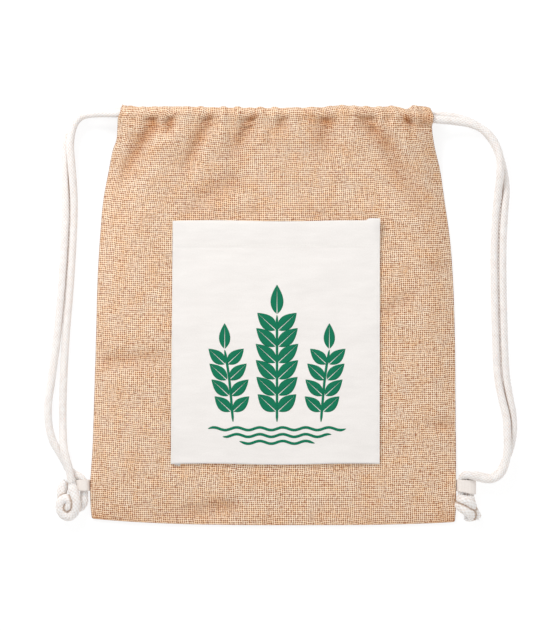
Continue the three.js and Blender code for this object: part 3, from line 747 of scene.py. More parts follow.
def cloth(name, grid, thickness, width, material, relief_and_painted_shade=None):
    """A closed sheet about a grid of points, with places measured along its threads."""
    grid = np.array(grid)
    rows, columns = grid.shape[:2]
    normals = unit(np.cross(np.gradient(grid, axis=1), np.gradient(grid, axis=0)))
    half = np.broadcast_to(np.asarray(thickness), (rows, columns))[..., None] / 2
    points, faces = closed_sheet(grid + normals * half, grid - normals * half)
    steps = np.linalg.norm(np.diff(grid, axis=0, prepend=grid[:1]), axis=2)
    across = np.tile(np.linspace(0, 1, columns) * width, (rows, 1))
    places = np.tile(np.stack([across, np.cumsum(steps, axis=0)], axis=-1).reshape(-1, 2), (2, 1))
    if relief_and_painted_shade is not None:
        relief_and_painted_shade = np.tile(relief_and_painted_shade.ravel(), 2)
    return mesh_piece(name, points, faces, places, material, relief_and_painted_shade)


jute, shader, nodes = new_material("jute")
places = nodes.places()
threads, uneven_threads, uneven_gaps = [], [], []
thread_ways = zip(nodes.both_ways(places), ((30, 110, 1), (110, 30, 1)), ((480, 60, 1), (60, 480, 1)))
for way, wandering, along in thread_ways:
    wander = nodes.noise(places, wandering, 2.0)
    place = nodes.maths("MULTIPLY_ADD", wander, 1.2, nodes.maths("MULTIPLY", way, 1 / THREAD))
    uneven_threads.append(nodes.noise(places, along, 2.0))
    uneven_gaps.append(nodes.noise(places, along, 2.0, start=7.3))
    spaces = nodes.noise(places, along, 2.0, start=3.1)
    threads.append(nodes.maths("MULTIPLY_ADD", spaces, 0.5, place))
waves = [nodes.thread_wave(thread, 1) for thread in threads]
dome = nodes.dome(waves)
gaps = [nodes.maths("MULTIPLY_ADD", wave, nodes.maths("MULTIPLY", wave, -1.0), 1.0) for wave in waves]
crossed_gaps = nodes.maths("MULTIPLY", *gaps)

# Fibres fill most gaps between four threads, and only the widest stay open, with painted shade that makes
# them dark.
openness = nodes.maths("MULTIPLY_ADD", nodes.noise(places, (420, 420, 1), 3.0), 1.4, -0.92)
openness = nodes.maths("MULTIPLY_ADD", nodes.maths("ADD", *uneven_gaps), 0.25, openness)
opened = nodes.add("ShaderNodeMapRange", {"Value": nodes.maths("ADD", crossed_gaps, openness)})
opened.inputs["From Min"].default_value = 0.15
opened.inputs["From Max"].default_value = 0.52
hole = opened.outputs[0]

fibres = nodes.noise(places, (1100, 1100, 1), 3.0)
mottle = nodes.noise(places, (60, 60, 1), 4.0)
tone = nodes.maths("MULTIPLY_ADD", fibres, 0.9, nodes.maths("MULTIPLY_ADD", mottle, 0.35, -0.14))
tone = nodes.maths("MULTIPLY_ADD", nodes.maths("ADD", *uneven_threads), 0.12, tone)
shades = nodes.shades(tone, (0.3, (0.93, 0.485, 0.17, 1)), (0.68, (1.0, 0.87, 0.7, 1)))
# Painted shade: the jute is darker and warmer in the hollows between its threads.
hollow = nodes.maths("MULTIPLY", crossed_gaps, 0.85)
hollow = nodes.maths("MULTIPLY_ADD", nodes.maths("SUBTRACT", 1.0, dome), 0.06, hollow)
with_hollow_shade = nodes.mixed(hollow, shades, (0.78, 0.33, 0.05, 1))
with_hole_shade = nodes.mixed(nodes.maths("MULTIPLY", hole, 0.95), with_hollow_shade, (0.32, 0.07, 0.004, 1))
# Painted shade: in a fold or a dip of the casing, and where the cloth turns down at the bottom seam, the
# colour is made dimmer and warmer, as light that has been off the jute already would be.
nodes.colour(nodes.mixed(nodes.relief_and_painted_shade(), with_hole_shade, (0.66, 0.44, 0.29, 1), blend="MULTIPLY"))
nodes.bump(nodes.maths("MULTIPLY_ADD", fibres, 0.3, nodes.maths("SUBTRACT", dome, hole)), 0.6, 0.0005)
shader.inputs["Roughness"].default_value = 0.85
shader.inputs["Specular IOR Level"].default_value = 0.1


def back_height(x, y):
    return JUTE / 2 + fold_height(BACK_FOLDS, x, y) * eased(y, 0.118, 0.15)


def wave_set(seed, count, shortest, longest, size):
    """Waves of chance lengths and starts across the cloth, and how far each runs down it."""
    chance = np.random.default_rng(seed)
    lengths = chance.uniform(shortest, longest, count)
    starts, runs = chance.uniform(0, 2 * np.pi, count), chance.uniform(0.006, 0.022, count)
    return list(zip(2 * np.pi / lengths, starts, np.full(count, size), runs))


BACK_CRIMPS = wave_set(3, 6, 0.009, 0.02, 0.0003)


def crimped(waves, x, below):
    """The small waves of a gathered edge, which die out below its seam."""
    height = sum(size * np.sin(k * x + start) * np.exp(-below / run) for k, start, size, run in waves)
    return np.clip(height, -0.0006, 0.0012)


shares = crowded(120, 0.15)
x = across_casing(shares, BACK_INSET)
back_cord = cord_centre(BACK_ROUTE, x)
rows = casing(
    shares,
    BACK_INSET,
    cord=back_cord,
    stitch=BACK_STITCH,
    edge=back_cord[0] + CASING_RADIUS,
    lower=back_height(x, BACK_STITCH),
    waves=crimped(BACK_CRIMPS, x, 0),
)
panel = below_seam(shares, np.arange(0.1735, LAST_LEVEL, -0.0032), BACK_INSET, back_height)
back_cloth = cloth("back_cloth", [*panel[::-1], *rows], JUTE, CLOTH_WIDTH, jute)
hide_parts("back_panel")
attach(back_cloth, "root")


# The front panel, one piece of jute with a casing like the back's. The cord inside is
# shorter than the cloth is wide, so the cloth gathers on it and falls in folds below.
FRONT_STITCH = 0.179
EDGE_RUN = 0.022
LOOP_MIDDLE = -0.1639
LOOP_WIDTH = 0.0106
LOOP_LIFT = 0.003
SEAM_DENT = 0.0004  # how deep the stitches of the casing pull into the cloth

# Height up the bag, and the height of the cloth at its side seams and down its middle.
CROWN = np.array(
    [
        (-0.203, 0.0022, 0.0022),
        (-0.185, 0.0022, 0.0052),
        (-0.16, 0.0022, 0.0084),
        (-0.12, 0.0022, 0.0116),
        (-0.06, 0.0022, 0.0148),
        (0, 0.0022, 0.0172),
        (0.07, 0.0022, 0.019),
        (0.118, 0.0022, 0.0212),
        (0.135, 0.0036, 0.0228),
        (0.15, 0.0076, 0.0248),
        (0.165, 0.013, 0.028),
        (0.179, 0.017, 0.0304),
        (0.182, 0.0174, 0.0306),
    ]
)
TOP_EDGE = np.array(
    [
        (-0.152, 0.1974),
        (-0.126, 0.1982),
        (-0.098, 0.1985),
        (-0.06, 0.1976),
        (-0.022, 0.1968),
        (-0.005, 0.196),
        (0.02, 0.1966),
        (0.045, 0.1976),
        (0.064, 0.1994),
        (0.08, 0.1988),
        (0.092, 0.1976),
        (0.119, 0.1986),
        (0.127, 0.196),
        (0.134, 0.1986),
        (0.144, 0.1992),
        (0.152, 0.197),
    ]
)
FRONT_FOLDS = [
    ((-0.114, 0.186), (-0.154, 0.12), 0.008, -0.0064),
    ((-0.097, 0.187), (-0.106, 0.168), 0.006, -0.005),
    ((-0.061, 0.188), (-0.09, 0.13), 0.008, -0.0056),
    ((-0.023, 0.188), (-0.044, 0.143), 0.008, -0.0052),
    ((-0.042, 0.128), (-0.096, 0.095), 0.01, -0.0034),
    ((0.008, 0.188), (0, 0.168), 0.007, -0.0038),
    ((0.05, 0.186), (0.042, 0.15), 0.01, -0.0046),
    ((0.087, 0.188), (0.093, 0.17), 0.008, -0.0044),
    ((0.098, 0.174), (0.146, 0.092), 0.009, -0.0038),
    ((0.127, 0.187), (0.148, 0.183), 0.008, -0.0044),
    ((-0.106, 0.16), (-0.141, 0.06), 0.013, 0.0022),
    ((-0.06, 0.172), (-0.076, 0.128), 0.009, 0.0018),
    ((-0.02, 0.096), (-0.092, 0.092), 0.006, -0.0016),
    ((0.03, 0.096), (0.098, 0.094), 0.006, -0.0014),
    ((-0.042, -0.1845), (-0.112, -0.191), 0.0065, -0.0038),
    ((-0.163, -0.044), (-0.1, -0.042), 0.008, -0.003),
    ((0.172, 0.045), (0.143, 0.046), 0.006, -0.0026),
    ((0.172, -0.107), (0.142, -0.105), 0.006, -0.0028),
    ((0.108, 0.004), (0.14, 0.024), 0.007, -0.0024),
]

# Dips of the casing between its cord and its seam, where the cloth is drawn together:
# place, half its width, depth, and how it leans to one side going up.
CASING_DIPS = [
    (-0.135, 0.1872, 0.004, 0.001, 0.0),
    (-0.1165, 0.1852, 0.0052, 0.003, -0.1),
    (-0.0995, 0.1852, 0.0046, 0.0026, 0.6),
    (-0.0628, 0.1866, 0.005, 0.0026, 0.5),
    (-0.0225, 0.1866, 0.0055, 0.003, 0.7),
    (0.0085, 0.1862, 0.0045, 0.0018, 0.3),
    (0.033, 0.189, 0.004, 0.001, 0.0),
    (0.0485, 0.1852, 0.007, 0.0028, -0.2),
    (0.0815, 0.1876, 0.0042, 0.002, 0.0),
    (0.0895, 0.1872, 0.0045, 0.0022, 0.2),
    (0.109, 0.1888, 0.004, 0.0008, 0.0),
    (0.1262, 0.1856, 0.0046, 0.0034, -0.5),
    (0.143, 0.1866, 0.0085, 0.0014, 0.0),
]
# These set the painted shade that darkens the front cloth's colour in its folds, in its casing's dips and
# where it turns down at the bottom seam.
DIP_DEPTH = 0.0032  # how deep a dip is where the cloth looks darkest
FOLD_DEPTH = 0.0075  # how deep a fold is where it is as dim as a fold gets
FOLD_DIMNESS = 0.85  # how dim that is, as a share of a dip's darkest
TURN_REACH = 0.005  # how far up from the bottom seam the cloth visibly turns down

# Small puckers that the stitches draw below the casing, set by chance.
PUCKERS = 30
PUCKER_TOP = 0.176
chance = np.random.default_rng(5)
puckers = []
for x in np.linspace(-0.143, 0.143, PUCKERS):
    x += chance.uniform(-0.004, 0.004)
    drop, drift = chance.uniform(0.012, 0.045), chance.uniform(-0.01, 0.004)
    lift = chance.uniform(0.0003, 0.0011) * chance.choice([-1, 1])
    foot = (x + drift, PUCKER_TOP - drop)
    puckers.append(((x, PUCKER_TOP), foot, chance.uniform(0.0025, 0.0048), lift))
FRONT_CRIMPS = wave_set(8, 7, 0.008, 0.019, 0.0003)

# Slow unevenness of the cloth, in waves that cross it in many directions.
RIPPLES = 9
STEEPNESS = 1 / 400  # a ripple's height to its length
ripples = []
for _ in range(RIPPLES):
    angle, length = chance.uniform(0, np.pi), chance.uniform(0.022, 0.07)
    turns = 2 * np.pi / length
    start = chance.uniform(0, 2 * np.pi)
    ripples.append((np.cos(angle) * turns, np.sin(angle) * turns, start, length * STEEPNESS))


def crown_share(x, y):
    inward = np.minimum(x - left_edge(y), right_edge(y) - x)
    return np.tanh(np.maximum(inward, 0) / EDGE_RUN)


def loop_lift(x, y):
    inward = np.minimum(x - left_edge(y), right_edge(y) - x)
    near = 1 - eased(np.abs(y - LOOP_MIDDLE), LOOP_WIDTH / 2 + 0.0015, LOOP_WIDTH / 2 + 0.014)
    return LOOP_LIFT * near * (1 - eased(inward, 0.009, 0.03))


def gathers(x, y):
    return fold_height(FRONT_FOLDS, x, y) * np.clip(2.2 * crown_share(x, y), 0.12, 1)


def fold_shade(x, y):
    """How dim the cloth is, down in a fold or a dip and where it turns down at the bottom."""
    folds = FOLD_DIMNESS * np.minimum(gathers(x, y), 0) / FOLD_DEPTH
    folds = folds * (1 - eased(y, FRONT_STITCH, FRONT_STITCH + 0.006))
    near_bottom = np.exp(-np.maximum(y - bottom_edge(x), 0) / TURN_REACH)
    turned_down = (0.2 + 0.5 * (x / 0.175) ** 4) * near_bottom
    return np.clip(dip_depth(CASING_DIPS, x, y) / DIP_DEPTH - folds, 0, 1) + turned_down


def front_height(x, y):
    rim, middle = smooth_read(CROWN, 1, y), smooth_read(CROWN, 2, y)
    share = crown_share(x, y)
    seam = rim + loop_lift(x, y)
    height = np.maximum(seam, rim + (middle - rim) * share) + gathers(x, y)
    inner = cord_centre(FRONT_ROUTE, x)[1] - CASING_RADIUS
    floor = inner + LEAF_STEP - 0.022 * (1 - eased(y, 0.14, FRONT_STITCH))
    lowest = np.minimum(floor, seam + 0.03 * share + 0.06 * eased(y, 0.15, 0.17))
    return np.maximum(np.maximum(height, lowest), seam)


def front_surface(x, y):
    """The middle of the front cloth's thickness, with its small puckers and ripples."""
    share = np.clip(crown_share(x, y) * 1.6, 0, 1)
    below = np.maximum(FRONT_STITCH - y, 0)
    height = front_height(x, y) + share * fold_height(puckers, x, y)
    height += share * crimped(FRONT_CRIMPS, x, below)
    for kx, ky, start, size in ripples:
        height += size * np.sin(kx * x + ky * y + start) * share * (1 - np.exp(-below / 0.02))
    return height - SEAM_DENT * np.exp(-((below / 0.002) ** 2))


def front_face(x, y):
    return front_surface(x, y) + JUTE / 2


shares = crowded(168, 0.1)
x = across_casing(shares, 0)
rows = casing(
    shares,
    0,
    cord=cord_centre(FRONT_ROUTE, x),
    stitch=FRONT_STITCH,
    edge=smooth_read(TOP_EDGE, 1, x),
    lower=front_surface(x, FRONT_STITCH) - LEAF_STEP,
    waves=crimped(FRONT_CRIMPS, x, 0),
    dips=CASING_DIPS,
)
levels = [*np.arange(0.1776, 0.15, -0.0013), *np.arange(0.15, LAST_LEVEL, -0.0021)]
panel = below_seam(shares, levels, 0, front_surface)
grid = np.array([*rows, *panel][::-1])
shade = fold_shade(grid[..., 0], grid[..., 1])
front_cloth = cloth("front_cloth", grid, JUTE, CLOTH_WIDTH, jute, shade)
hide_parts("front_panel")
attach(front_cloth, "root")


# The seam that closes the front casing, sewn through both leaves with a thick thread.
STITCH_LENGTH = 0.0036
STITCH_GAP = 0.0012
SEAM_THREAD = 0.0006


def thread_material(name, dark, light):
    """Sewing thread, with finely uneven plies between a dark and a light shade."""
    thread, shader, nodes = new_material(name)
    spots = nodes.add("ShaderNodeTexCoord", {}).outputs["Object"]
    plies = nodes.add("ShaderNodeTexNoise", {"Vector": spots, "Scale": 1500.0, "Detail": 2.0})
    nodes.colour(nodes.mixed(plies.outputs[0], dark, light))
    shader.inputs["Roughness"].default_value = 0.8
    return thread


seam_thread = thread_material("seam_thread", (0.7, 0.48, 0.3, 1), (0.95, 0.77, 0.58, 1))


def smooth_line(places, step):
    """Places a step apart on a smooth line through some places on a flat."""
    return smooth_path([(x, y, 0) for x, y in places], step)[:, :2]


def stitch(start, end, width):
    """One stitch, a short rounded thread from start to end."""
    start, end = np.array(start), np.array(end)
    onward = unit(end - start)
    side = unit(np.cross(onward, (0.0, 0.0, 1.0)))
    up = np.cross(side, onward)
    points, sides = [], 6
    for share, size in ((0.0, 0.35), (0.15, 0.8), (0.5, 1.0), (0.85, 0.8), (1.0, 0.35)):
        centre = start + (end - start) * share + up * (size - 1) * width * 0.5
        for k in range(sides):
            angle = 2 * np.pi * k / sides
            points.append(centre + (np.cos(angle) * side + np.sin(angle) * up) * width / 2 * size)
    faces = grid_faces(5, sides, around=True).tolist()
    faces += [tuple(range(sides - 1, -1, -1)), tuple(range(4 * sides, 5 * sides))]
    return np.array(points), faces


def stitches(name, line, surface, length, gap, width, material):
    """A row of stitches on a surface, along a line of two or more places."""
    line = smooth_line(line, 0.0005)
    gone = travelled(line)
    parts = []
    for begin in np.arange(gap, gone[-1] - length, length + gap):
        ends = []
        for place in (begin, begin + length):
            x, y = np.interp(place, gone, line[:, 0]), np.interp(place, gone, line[:, 1])
            ends.append((x, y, float(surface(np.array([x]), np.array([y]))[0]) + width * 0.1))
        points, faces = stitch(*ends, width)
        parts.append((points, faces, points[:, :2], np.ones(len(points))))
    points, faces, places, _ = join(parts)
    made = mesh_piece(name, points, faces, places, material)
    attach(made, "root")
    return made


seam = stitches(
    "casing_stitches",
    [(-0.1485, FRONT_STITCH), (0, FRONT_STITCH), (0.148, FRONT_STITCH)],
    front_face,
    STITCH_LENGTH,
    STITCH_GAP,
    SEAM_THREAD,
    seam_thread,
)


# The pocket, a patch of undyed cotton canvas. Its top is hemmed, its other edges are
# turned under and sewn to the front, and its upper right corner stands up a little.
COTTON = 0.0011
TURNING = 0.0007
POCKET_LEFT, POCKET_RIGHT = -0.0986, 0.1002
POCKET_BOTTOM, POCKET_TOP = -0.1434, 0.0892
POCKET_TOP_HEM = 0.025
POCKET_SIDE_HEM = 0.004
CORNER_LIFT = 0.0026  # how high the upper right corner stands up
CORNER_RISE = 0.0021  # how much further up the bag that corner reaches
POCKET_GAP = 0.0006
HEM_LINE = 0.0666
CREASE_DEPTH = 0.00026
SEWN_IN = 0.0021  # from the pocket's edge to the thread that sews it down
SEWN_DENT = 0.00012
COTTON_THREAD = 0.00062  # from one thread of the canvas to the next
POCKET_STITCH = 0.0024
POCKET_STITCH_GAP = 0.001
POCKET_SEWING = 0.00045  # how thick the sewing thread is
LOOSE_ENDS = 36
LOOSE_SPREAD = 0.0022  # how far to each side of their middle they come out
LOOSE_WIDTH = 0.0005


def canvas_dome(nodes, places):
    """How high the canvas's weave stands."""
    return nodes.dome([nodes.thread_wave(way, COTTON_THREAD) for way in nodes.both_ways(places)])


canvas, shader, nodes = new_material("canvas")
places = nodes.places()
dome = canvas_dome(nodes, places)
clouds = nodes.noise(places, (45, 160, 1), 4.0)
fibres = nodes.noise(places, (900, 700, 1), 3.0)
# Painted shade: the canvas is lighter on its threads and darker between them; fibres and clouds also make
# it uneven at random.
weave_shade_and_fibres = nodes.maths("MULTIPLY_ADD", dome, 0.25, nodes.maths("MULTIPLY", fibres, 0.35))
tone = nodes.maths("MULTIPLY_ADD", clouds, 0.4, weave_shade_and_fibres)
nodes.colour(nodes.shades(tone, (0.2, (0.79, 0.755, 0.725, 1)), (0.75, (0.92, 0.885, 0.855, 1))))
nodes.bump(nodes.maths("ADD", dome, fibres), 0.35, 0.0002)
shader.inputs["Roughness"].default_value = 0.9
shader.inputs["Sheen Weight"].default_value = 0.1
shader.inputs["Specular IOR Level"].default_value = 0.2


def corner_lift(x, y):
    return np.exp(-(((x - POCKET_RIGHT + 0.003) / 0.009) ** 2) - ((y - POCKET_TOP) / 0.014) ** 2)


def pocket_hem(x, y):
    """1 where the cotton lies double, turned under at the pocket's edges."""
    from_side = np.minimum(x - POCKET_LEFT, POCKET_RIGHT - x)
    hem = np.maximum(
        1 - eased(from_side, POCKET_SIDE_HEM, POCKET_SIDE_HEM + 0.001),
        1 - eased(POCKET_TOP - y, POCKET_TOP_HEM, POCKET_TOP_HEM + 0.0012),
    )
    return np.maximum(hem, 1 - eased(y - POCKET_BOTTOM, POCKET_SIDE_HEM, POCKET_SIDE_HEM + 0.001))


def hem_crease(x, y):
    """The two faint lines along the top hem, deeper over the middle of the pocket."""
    deep = eased(x, -0.034, -0.026) * (1 - eased(x, 0.046, 0.056))
    upper = np.exp(-(((y - HEM_LINE) / 0.0019) ** 2)) * (0.25 + 0.75 * deep)
    lower = np.exp(-(((y - HEM_LINE + 0.0028) / 0.0011) ** 2)) * (0.75 - 0.6 * deep)
    return CREASE_DEPTH * (upper + lower) * eased(POCKET_RIGHT - x, 0.008, 0.02)


def pocket_face(x, y):
    lying = front_face(x, y) + POCKET_GAP + TURNING + COTTON
    puff = CORNER_LIFT * corner_lift(x, y) + 0.0005 * eased(y, 0.04, POCKET_TOP)
    from_side = np.minimum(np.minimum(x - POCKET_LEFT, POCKET_RIGHT - x), y - POCKET_BOTTOM)
    sewn_down = SEWN_DENT * np.exp(-(((from_side - SEWN_IN) / 0.0011) ** 2))
    return lying + puff + 0.15 * TURNING * pocket_hem(x, y) - hem_crease(x, y) - sewn_down


def with_more(places, *more):
    """Places from 0 to 1 with more of them where there is more to show, none too close."""
    places = np.unique(np.concatenate([places, *more]))
    return places[np.append(True, np.diff(places) > 0.0015)]


columns = with_more(crowded(100, 0.12), np.linspace(0.003, 0.03, 7), np.linspace(0.97, 0.997, 7))
rows = with_more(crowded(122, 0.12), np.linspace(0.868, 0.908, 14))
u, v = np.meshgrid(columns, rows)
y = POCKET_BOTTOM + (POCKET_TOP - POCKET_BOTTOM) * v + 0.0005 * np.sin(9 * u)
lean = (-0.0012 + 0.0021 * v) * (1 - u)
x = POCKET_LEFT + lean + (POCKET_RIGHT - POCKET_LEFT - lean) * u
y += CORNER_RISE * eased(x, 0.0868, 0.0902) * eased(v, 0.9, 1)
thickness = COTTON + TURNING * pocket_hem(x, y)
grid = np.stack([x, y, pocket_face(x, y) - thickness / 2], axis=-1)
pocket_cloth = cloth("pocket_cloth", grid, thickness, POCKET_RIGHT - POCKET_LEFT, canvas)
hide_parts("pocket")
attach(pocket_cloth, "root")

pocket_thread = thread_material("pocket_thread", (0.74, 0.715, 0.68, 1), (0.9, 0.87, 0.84, 1))
left, right = POCKET_LEFT + SEWN_IN - 0.0008, POCKET_RIGHT - SEWN_IN
bottom, top = POCKET_BOTTOM + SEWN_IN, POCKET_TOP - 0.001
sewn_lines = {
    "left": [(left, top), (left - 0.0006, bottom)],
    "bottom": [(left, bottom), (right, bottom)],
    "right": [(right, bottom), (right, top)],
    "hem": [(left + 0.002, HEM_LINE), (0, HEM_LINE - 0.0006), (right - 0.002, HEM_LINE)],
}
for side, line in sewn_lines.items():
    made = stitches(
        "pocket_stitches_" + side,
        line,
        pocket_face,
        POCKET_STITCH,
        POCKET_STITCH_GAP,
        POCKET_SEWING,
        pocket_thread,
    )

# Loose ends of the cotton's threads hang out at the pocket's lower left corner.
loose_x, loose_y = POCKET_LEFT + 0.0056, POCKET_BOTTOM + 0.0008
loose_ends = []
for _ in range(LOOSE_ENDS):
    foot = (
        loose_x + chance.uniform(-LOOSE_SPREAD, LOOSE_SPREAD),
        loose_y,
        front_surface(loose_x, loose_y) + 0.0023 + chance.uniform(-0.0003, 0.0003),
    )
    onward = (chance.uniform(-0.6, 0.6), -1, 0.1)
    length = chance.uniform(0.0016, 0.0036)
    loose_ends.append(hair(np.array(foot), onward, length, (0, 0, -0.0003), LOOSE_WIDTH))
points, faces, places, _ = join(loose_ends)
pocket_fray = mesh_piece("pocket_fray", points, faces, places, pocket_thread)
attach(pocket_fray, "root")


# The print on the pocket, green ink that is pressed into the canvas: three leafy stems
# over three short waves.
INK = 0.00012  # how far the ink stands over the canvas
PRINT_X, PRINT_Y = 0.0019, -0.051
STEM_WIDTH = 0.0024
LEAF_LEAN = 0.75  # radians up from level
LEAF_GAP = 0.0016  # from the middle of a stem to the foot of a leaf
WAVE_WIDTH = 0.0026
WAVE_LENGTH = 0.022
WAVE_RISE = 0.0013
TOP_WAVE, WAVE_STEP = -0.0585, 0.0065

# Each stem's place across the print, its foot, its tip, its pairs of leaves, and their length.
STEMS = [
    (0.0, -0.052, 0.072, 6, 0.031),
    (-0.046, -0.052, 0.036, 4, 0.027),
    (0.046, -0.052, 0.036, 4, 0.027),
]

ink, shader, nodes = new_material("green_ink")
places = nodes.places()
dome = canvas_dome(nodes, places)
fibres = nodes.noise(places, (900, 900, 1), 3.0)
# Painted shade: the ink is darker between the canvas's threads; its fibres also make it uneven at random.
tone = nodes.maths("MULTIPLY_ADD", fibres, 0.7, nodes.maths("MULTIPLY", dome, 0.3))
nodes.colour(nodes.mixed(tone, (0.0, 0.13, 0.062, 1), (0.0, 0.21, 0.105, 1)))
nodes.bump(dome, 0.3, 0.0002)
shader.inputs["Roughness"].default_value = 0.75
shader.inputs["Specular IOR Level"].default_value = 0.25


def ink_patch(plan):
    """A thin patch of ink on the pocket's face, from a grid of places on the pocket."""
    x, y = PRINT_X + plan[..., 0], PRINT_Y + plan[..., 1]
    face = pocket_face(x, y)
    upper, lower = (np.stack([x, y, face + INK * share], axis=-1) for share in (1, 0.2))
    points, faces = closed_sheet(upper, lower)
    return points, faces, points[:, :2], np.ones(len(points))


def leaf_half(root, angle, length, width, side):
    """Half of a leaf, from its midrib out to its edge."""
    t, out = np.meshgrid(np.linspace(0, 1, 15), np.linspace(0, 1, 5), indexing="ij")
    edge = width * np.sin(np.pi * t**0.8) ** 0.9
    rib = 0.0004 * (1 - t)
    across = side * (rib + np.maximum(edge - rib, 0.00005) * out)
    along = length * t
    x = root[0] + np.cos(angle) * along - np.sin(angle) * across
    y = root[1] + np.sin(angle) * along + np.cos(angle) * across
    plan = np.stack([x, y], axis=-1)
    return plan if side < 0 else plan[:, ::-1]


def ribbon(middle, width):
    """A stroke of a steady width with tapered ends, along a line of places."""
    line = smooth_line(middle, 0.0012)
    onward = unit(np.gradient(line, axis=0))
    t = np.linspace(0, 1, len(line))
    from_end = np.minimum(t, 1 - t) * len(line)
    half = width / 2 * np.minimum(1, np.sqrt(np.maximum(0.24 * from_end, 0.02)))
    across = np.column_stack([-onward[:, 1], onward[:, 0]])
    return np.stack([line + across * half[:, None] * k for k in (1, 0.33, -0.33, -1)], axis=1)


patches = []
for stem_x, foot, tip, pairs, size in STEMS:
    sway = 0.004 * np.sign(stem_x)
    stem = [(stem_x - sway, foot), (stem_x, (foot + tip) / 2), (stem_x + sway, tip - size * 0.7)]
    patches.append(ink_patch(ribbon(stem, STEM_WIDTH)))
    for k in range(pairs):
        share = (k + 0.6) / (pairs + 0.4)
        place = (stem_x - sway + 2 * sway * share, foot + (tip - size * 0.8 - foot) * share)
        length = size * (0.72 + 0.5 * share * (1 - share))
        for lean in (LEAF_LEAN, np.pi - LEAF_LEAN):
            start = (place[0] + LEAF_GAP * np.cos(lean), place[1] + LEAF_GAP * np.sin(lean))
            for side in (-1, 1):
                patches.append(ink_patch(leaf_half(start, lean, length, size * 0.22, side)))
    end_x, end_y = stem[-1]
    for side in (-1, 1):
        half = leaf_half((end_x, end_y + 0.001), np.pi / 2, size * 0.9, size * 0.2, side)
        patches.append(ink_patch(half))
for row, reach in ((0, 0.066), (1, 0.052), (2, 0.036)):
    x = np.linspace(-reach, reach, 33)
    y = TOP_WAVE - WAVE_STEP * row + WAVE_RISE * np.sin(x * 2 * np.pi / WAVE_LENGTH)
    patches.append(ink_patch(ribbon(zip(x, y), WAVE_WIDTH)))
points, faces, places, _ = join(patches)
pocket_print = mesh_piece("pocket_print", points, faces, places, ink)
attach(pocket_print, "root")


# The side loops, cotton tape folded double with both ends caught in the side seam. Both
# cords run through the right loop. The left loop holds one, and the other passes it by.
TAPE = 0.001
TAPE_LENGTH = 0.05
TAPE_RIB, TAPE_PICK = 0.0011, 0.0007  # from one rib to the next across it, and along it
LOOP_TOP = -0.1586
RIGHT_FAN = 0.0034  # how much the right loop spreads at its far end

# Distance out from the side seam, and height.
LEFT_LOOP = [
    (-0.007, 0.0034),
    (-0.001, 0.0034),
    (0.0006, 0.0042),
    (0.0012, 0.0064),
    (0.0019, 0.0086),
    (0.0034, 0.0101),
    (0.0062, 0.0106),
    (0.0096, 0.0105),
    (0.0126, 0.0095),
    (0.0147, 0.0076),
    (0.0155, 0.0052),
    (0.0149, 0.0026),
    (0.013, 0.0009),
    (0.009, 0.00065),
    (0.003, 0.0009),
    (0.0012, 0.0017),
    (-0.001, 0.0021),
    (-0.007, 0.0021),
]
RIGHT_LOOP = [
    (-0.007, 0.0034),
    (-0.001, 0.0034),
    (0.0005, 0.0038),
    (0.0011, 0.0054),
    (0.0018, 0.008),
    (0.0034, 0.0099),
    (0.0058, 0.0106),
    (0.0096, 0.0107),
    (0.0138, 0.0106),
    (0.0173, 0.009),
    (0.0187, 0.0054),
    (0.0173, 0.0019),
    (0.0138, 0.00065),
    (0.0056, 0.00065),
    (0.0026, 0.0009),
    (0.001, 0.0017),
    (-0.001, 0.0021),
    (-0.007, 0.0021),
]

tape_cotton, shader, nodes = new_material("tape_cotton")
places = nodes.places()
across, along = nodes.both_ways(places)
ribs = nodes.maths("POWER", nodes.thread_wave(across, TAPE_RIB), 0.5)
picks = nodes.maths("MULTIPLY_ADD", nodes.thread_wave(along, TAPE_PICK), 0.3, 0.7)
weave = nodes.maths("MULTIPLY", ribs, picks)
fibres = nodes.noise(places, (900, 900, 1), 3.0)
# Painted shade: the tape is darker between its ribs and between its picks; its fibres also make it uneven
# at random.
tone = nodes.maths("MULTIPLY_ADD", fibres, 0.4, nodes.maths("MULTIPLY", weave, 0.6))
nodes.colour(nodes.mixed(tone, (0.74, 0.66, 0.6, 1), (0.95, 0.9, 0.86, 1)))
nodes.bump(weave, 0.5, 0.0003)
shader.inputs["Roughness"].default_value = 0.9
shader.inputs["Specular IOR Level"].default_value = 0.2

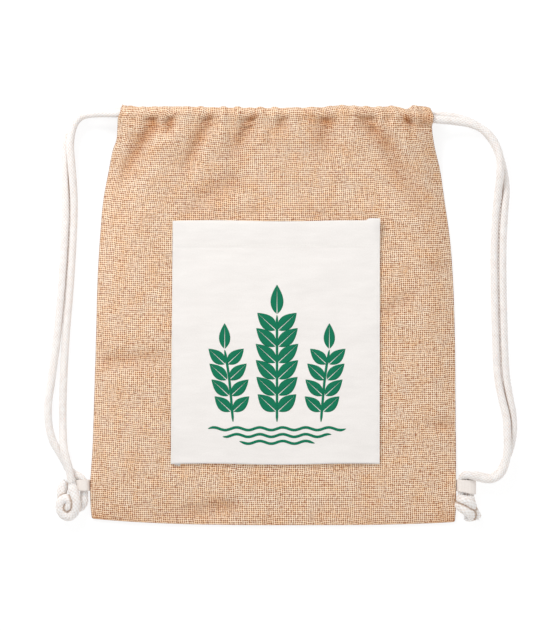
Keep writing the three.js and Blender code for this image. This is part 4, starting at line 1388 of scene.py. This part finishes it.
for name, section, seam_x, side, fan in (
    ("loop_left", LEFT_LOOP, left_edge(LOOP_MIDDLE), -1, 0.0),
    ("loop_right", RIGHT_LOOP, right_edge(LOOP_MIDDLE), 1, RIGHT_FAN),
):
    line = smooth_line(section, 0.0006)
    rows = []
    for share in np.linspace(0, 1, 13):
        far = share * LOOP_WIDTH
        spread = share * fan * np.clip(line[:, 0] / 0.016, 0, 1)
        rows.append(np.column_stack([seam_x + side * line[:, 0], LOOP_TOP - far - spread, line[:, 1]]))
    if side < 0:
        rows = rows[::-1]
    tape = cloth(name + "_tape", rows, TAPE, TAPE_LENGTH, tape_cotton)
    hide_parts(name)
    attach(tape, "root")


# The floor and the light, plain and pale, with the light coming softly from upper left.
# The floor glows a little, so that it stays white close to the bag.
FLOOR_REACH = 6
FLOOR_DROP = 0.0002  # keeps it out of the plane of the back panel's underside
floor_white, shader, _ = new_material("floor_white")
shader.inputs["Base Color"].default_value = (0.25, 0.25, 0.25, 1)
shader.inputs["Emission Color"].default_value = (1, 1, 1, 1)
shader.inputs["Emission Strength"].default_value = 0.8
shader.inputs["Roughness"].default_value = 1
shader.inputs["Specular IOR Level"].default_value = 0
floor_mesh = bpy.data.meshes.new("floor")
corners = [(x * FLOOR_REACH, y * FLOOR_REACH, 0) for x, y in ((-1, -1), (1, -1), (1, 1), (-1, 1))]
floor_mesh.from_pydata(corners, [], [(0, 1, 2, 3)])
floor_mesh.materials.append(floor_white)
floor = bpy.data.objects.new("floor", floor_mesh)
floor.location.z = -FLOOR_DROP
bpy.context.scene.collection.objects.link(floor)


def soft_light(name, place, size, power):
    data = bpy.data.lights.new(name, "AREA")
    data.shape = "DISK"
    data.size = size
    data.energy = power
    light = bpy.data.objects.new(name, data)
    light.location = place
    light.rotation_euler = (-Vector(place)).to_track_quat("-Z", "Y").to_euler()
    bpy.context.scene.collection.objects.link(light)


soft_light("key_light", (-0.75, 1.15, 1.1), 0.6, 15.5)
soft_light("fill_light", (1.4, -1.0, 1.8), 1.6, 5.5)
world = bpy.data.worlds.new("studio")
world.use_nodes = True
background = world.node_tree.nodes["Background"]
background.inputs["Color"].default_value = (1, 1, 1, 1)
background.inputs["Strength"].default_value = 0.72
bpy.context.scene.world = world
bpy.context.scene.view_settings.view_transform = "Standard"
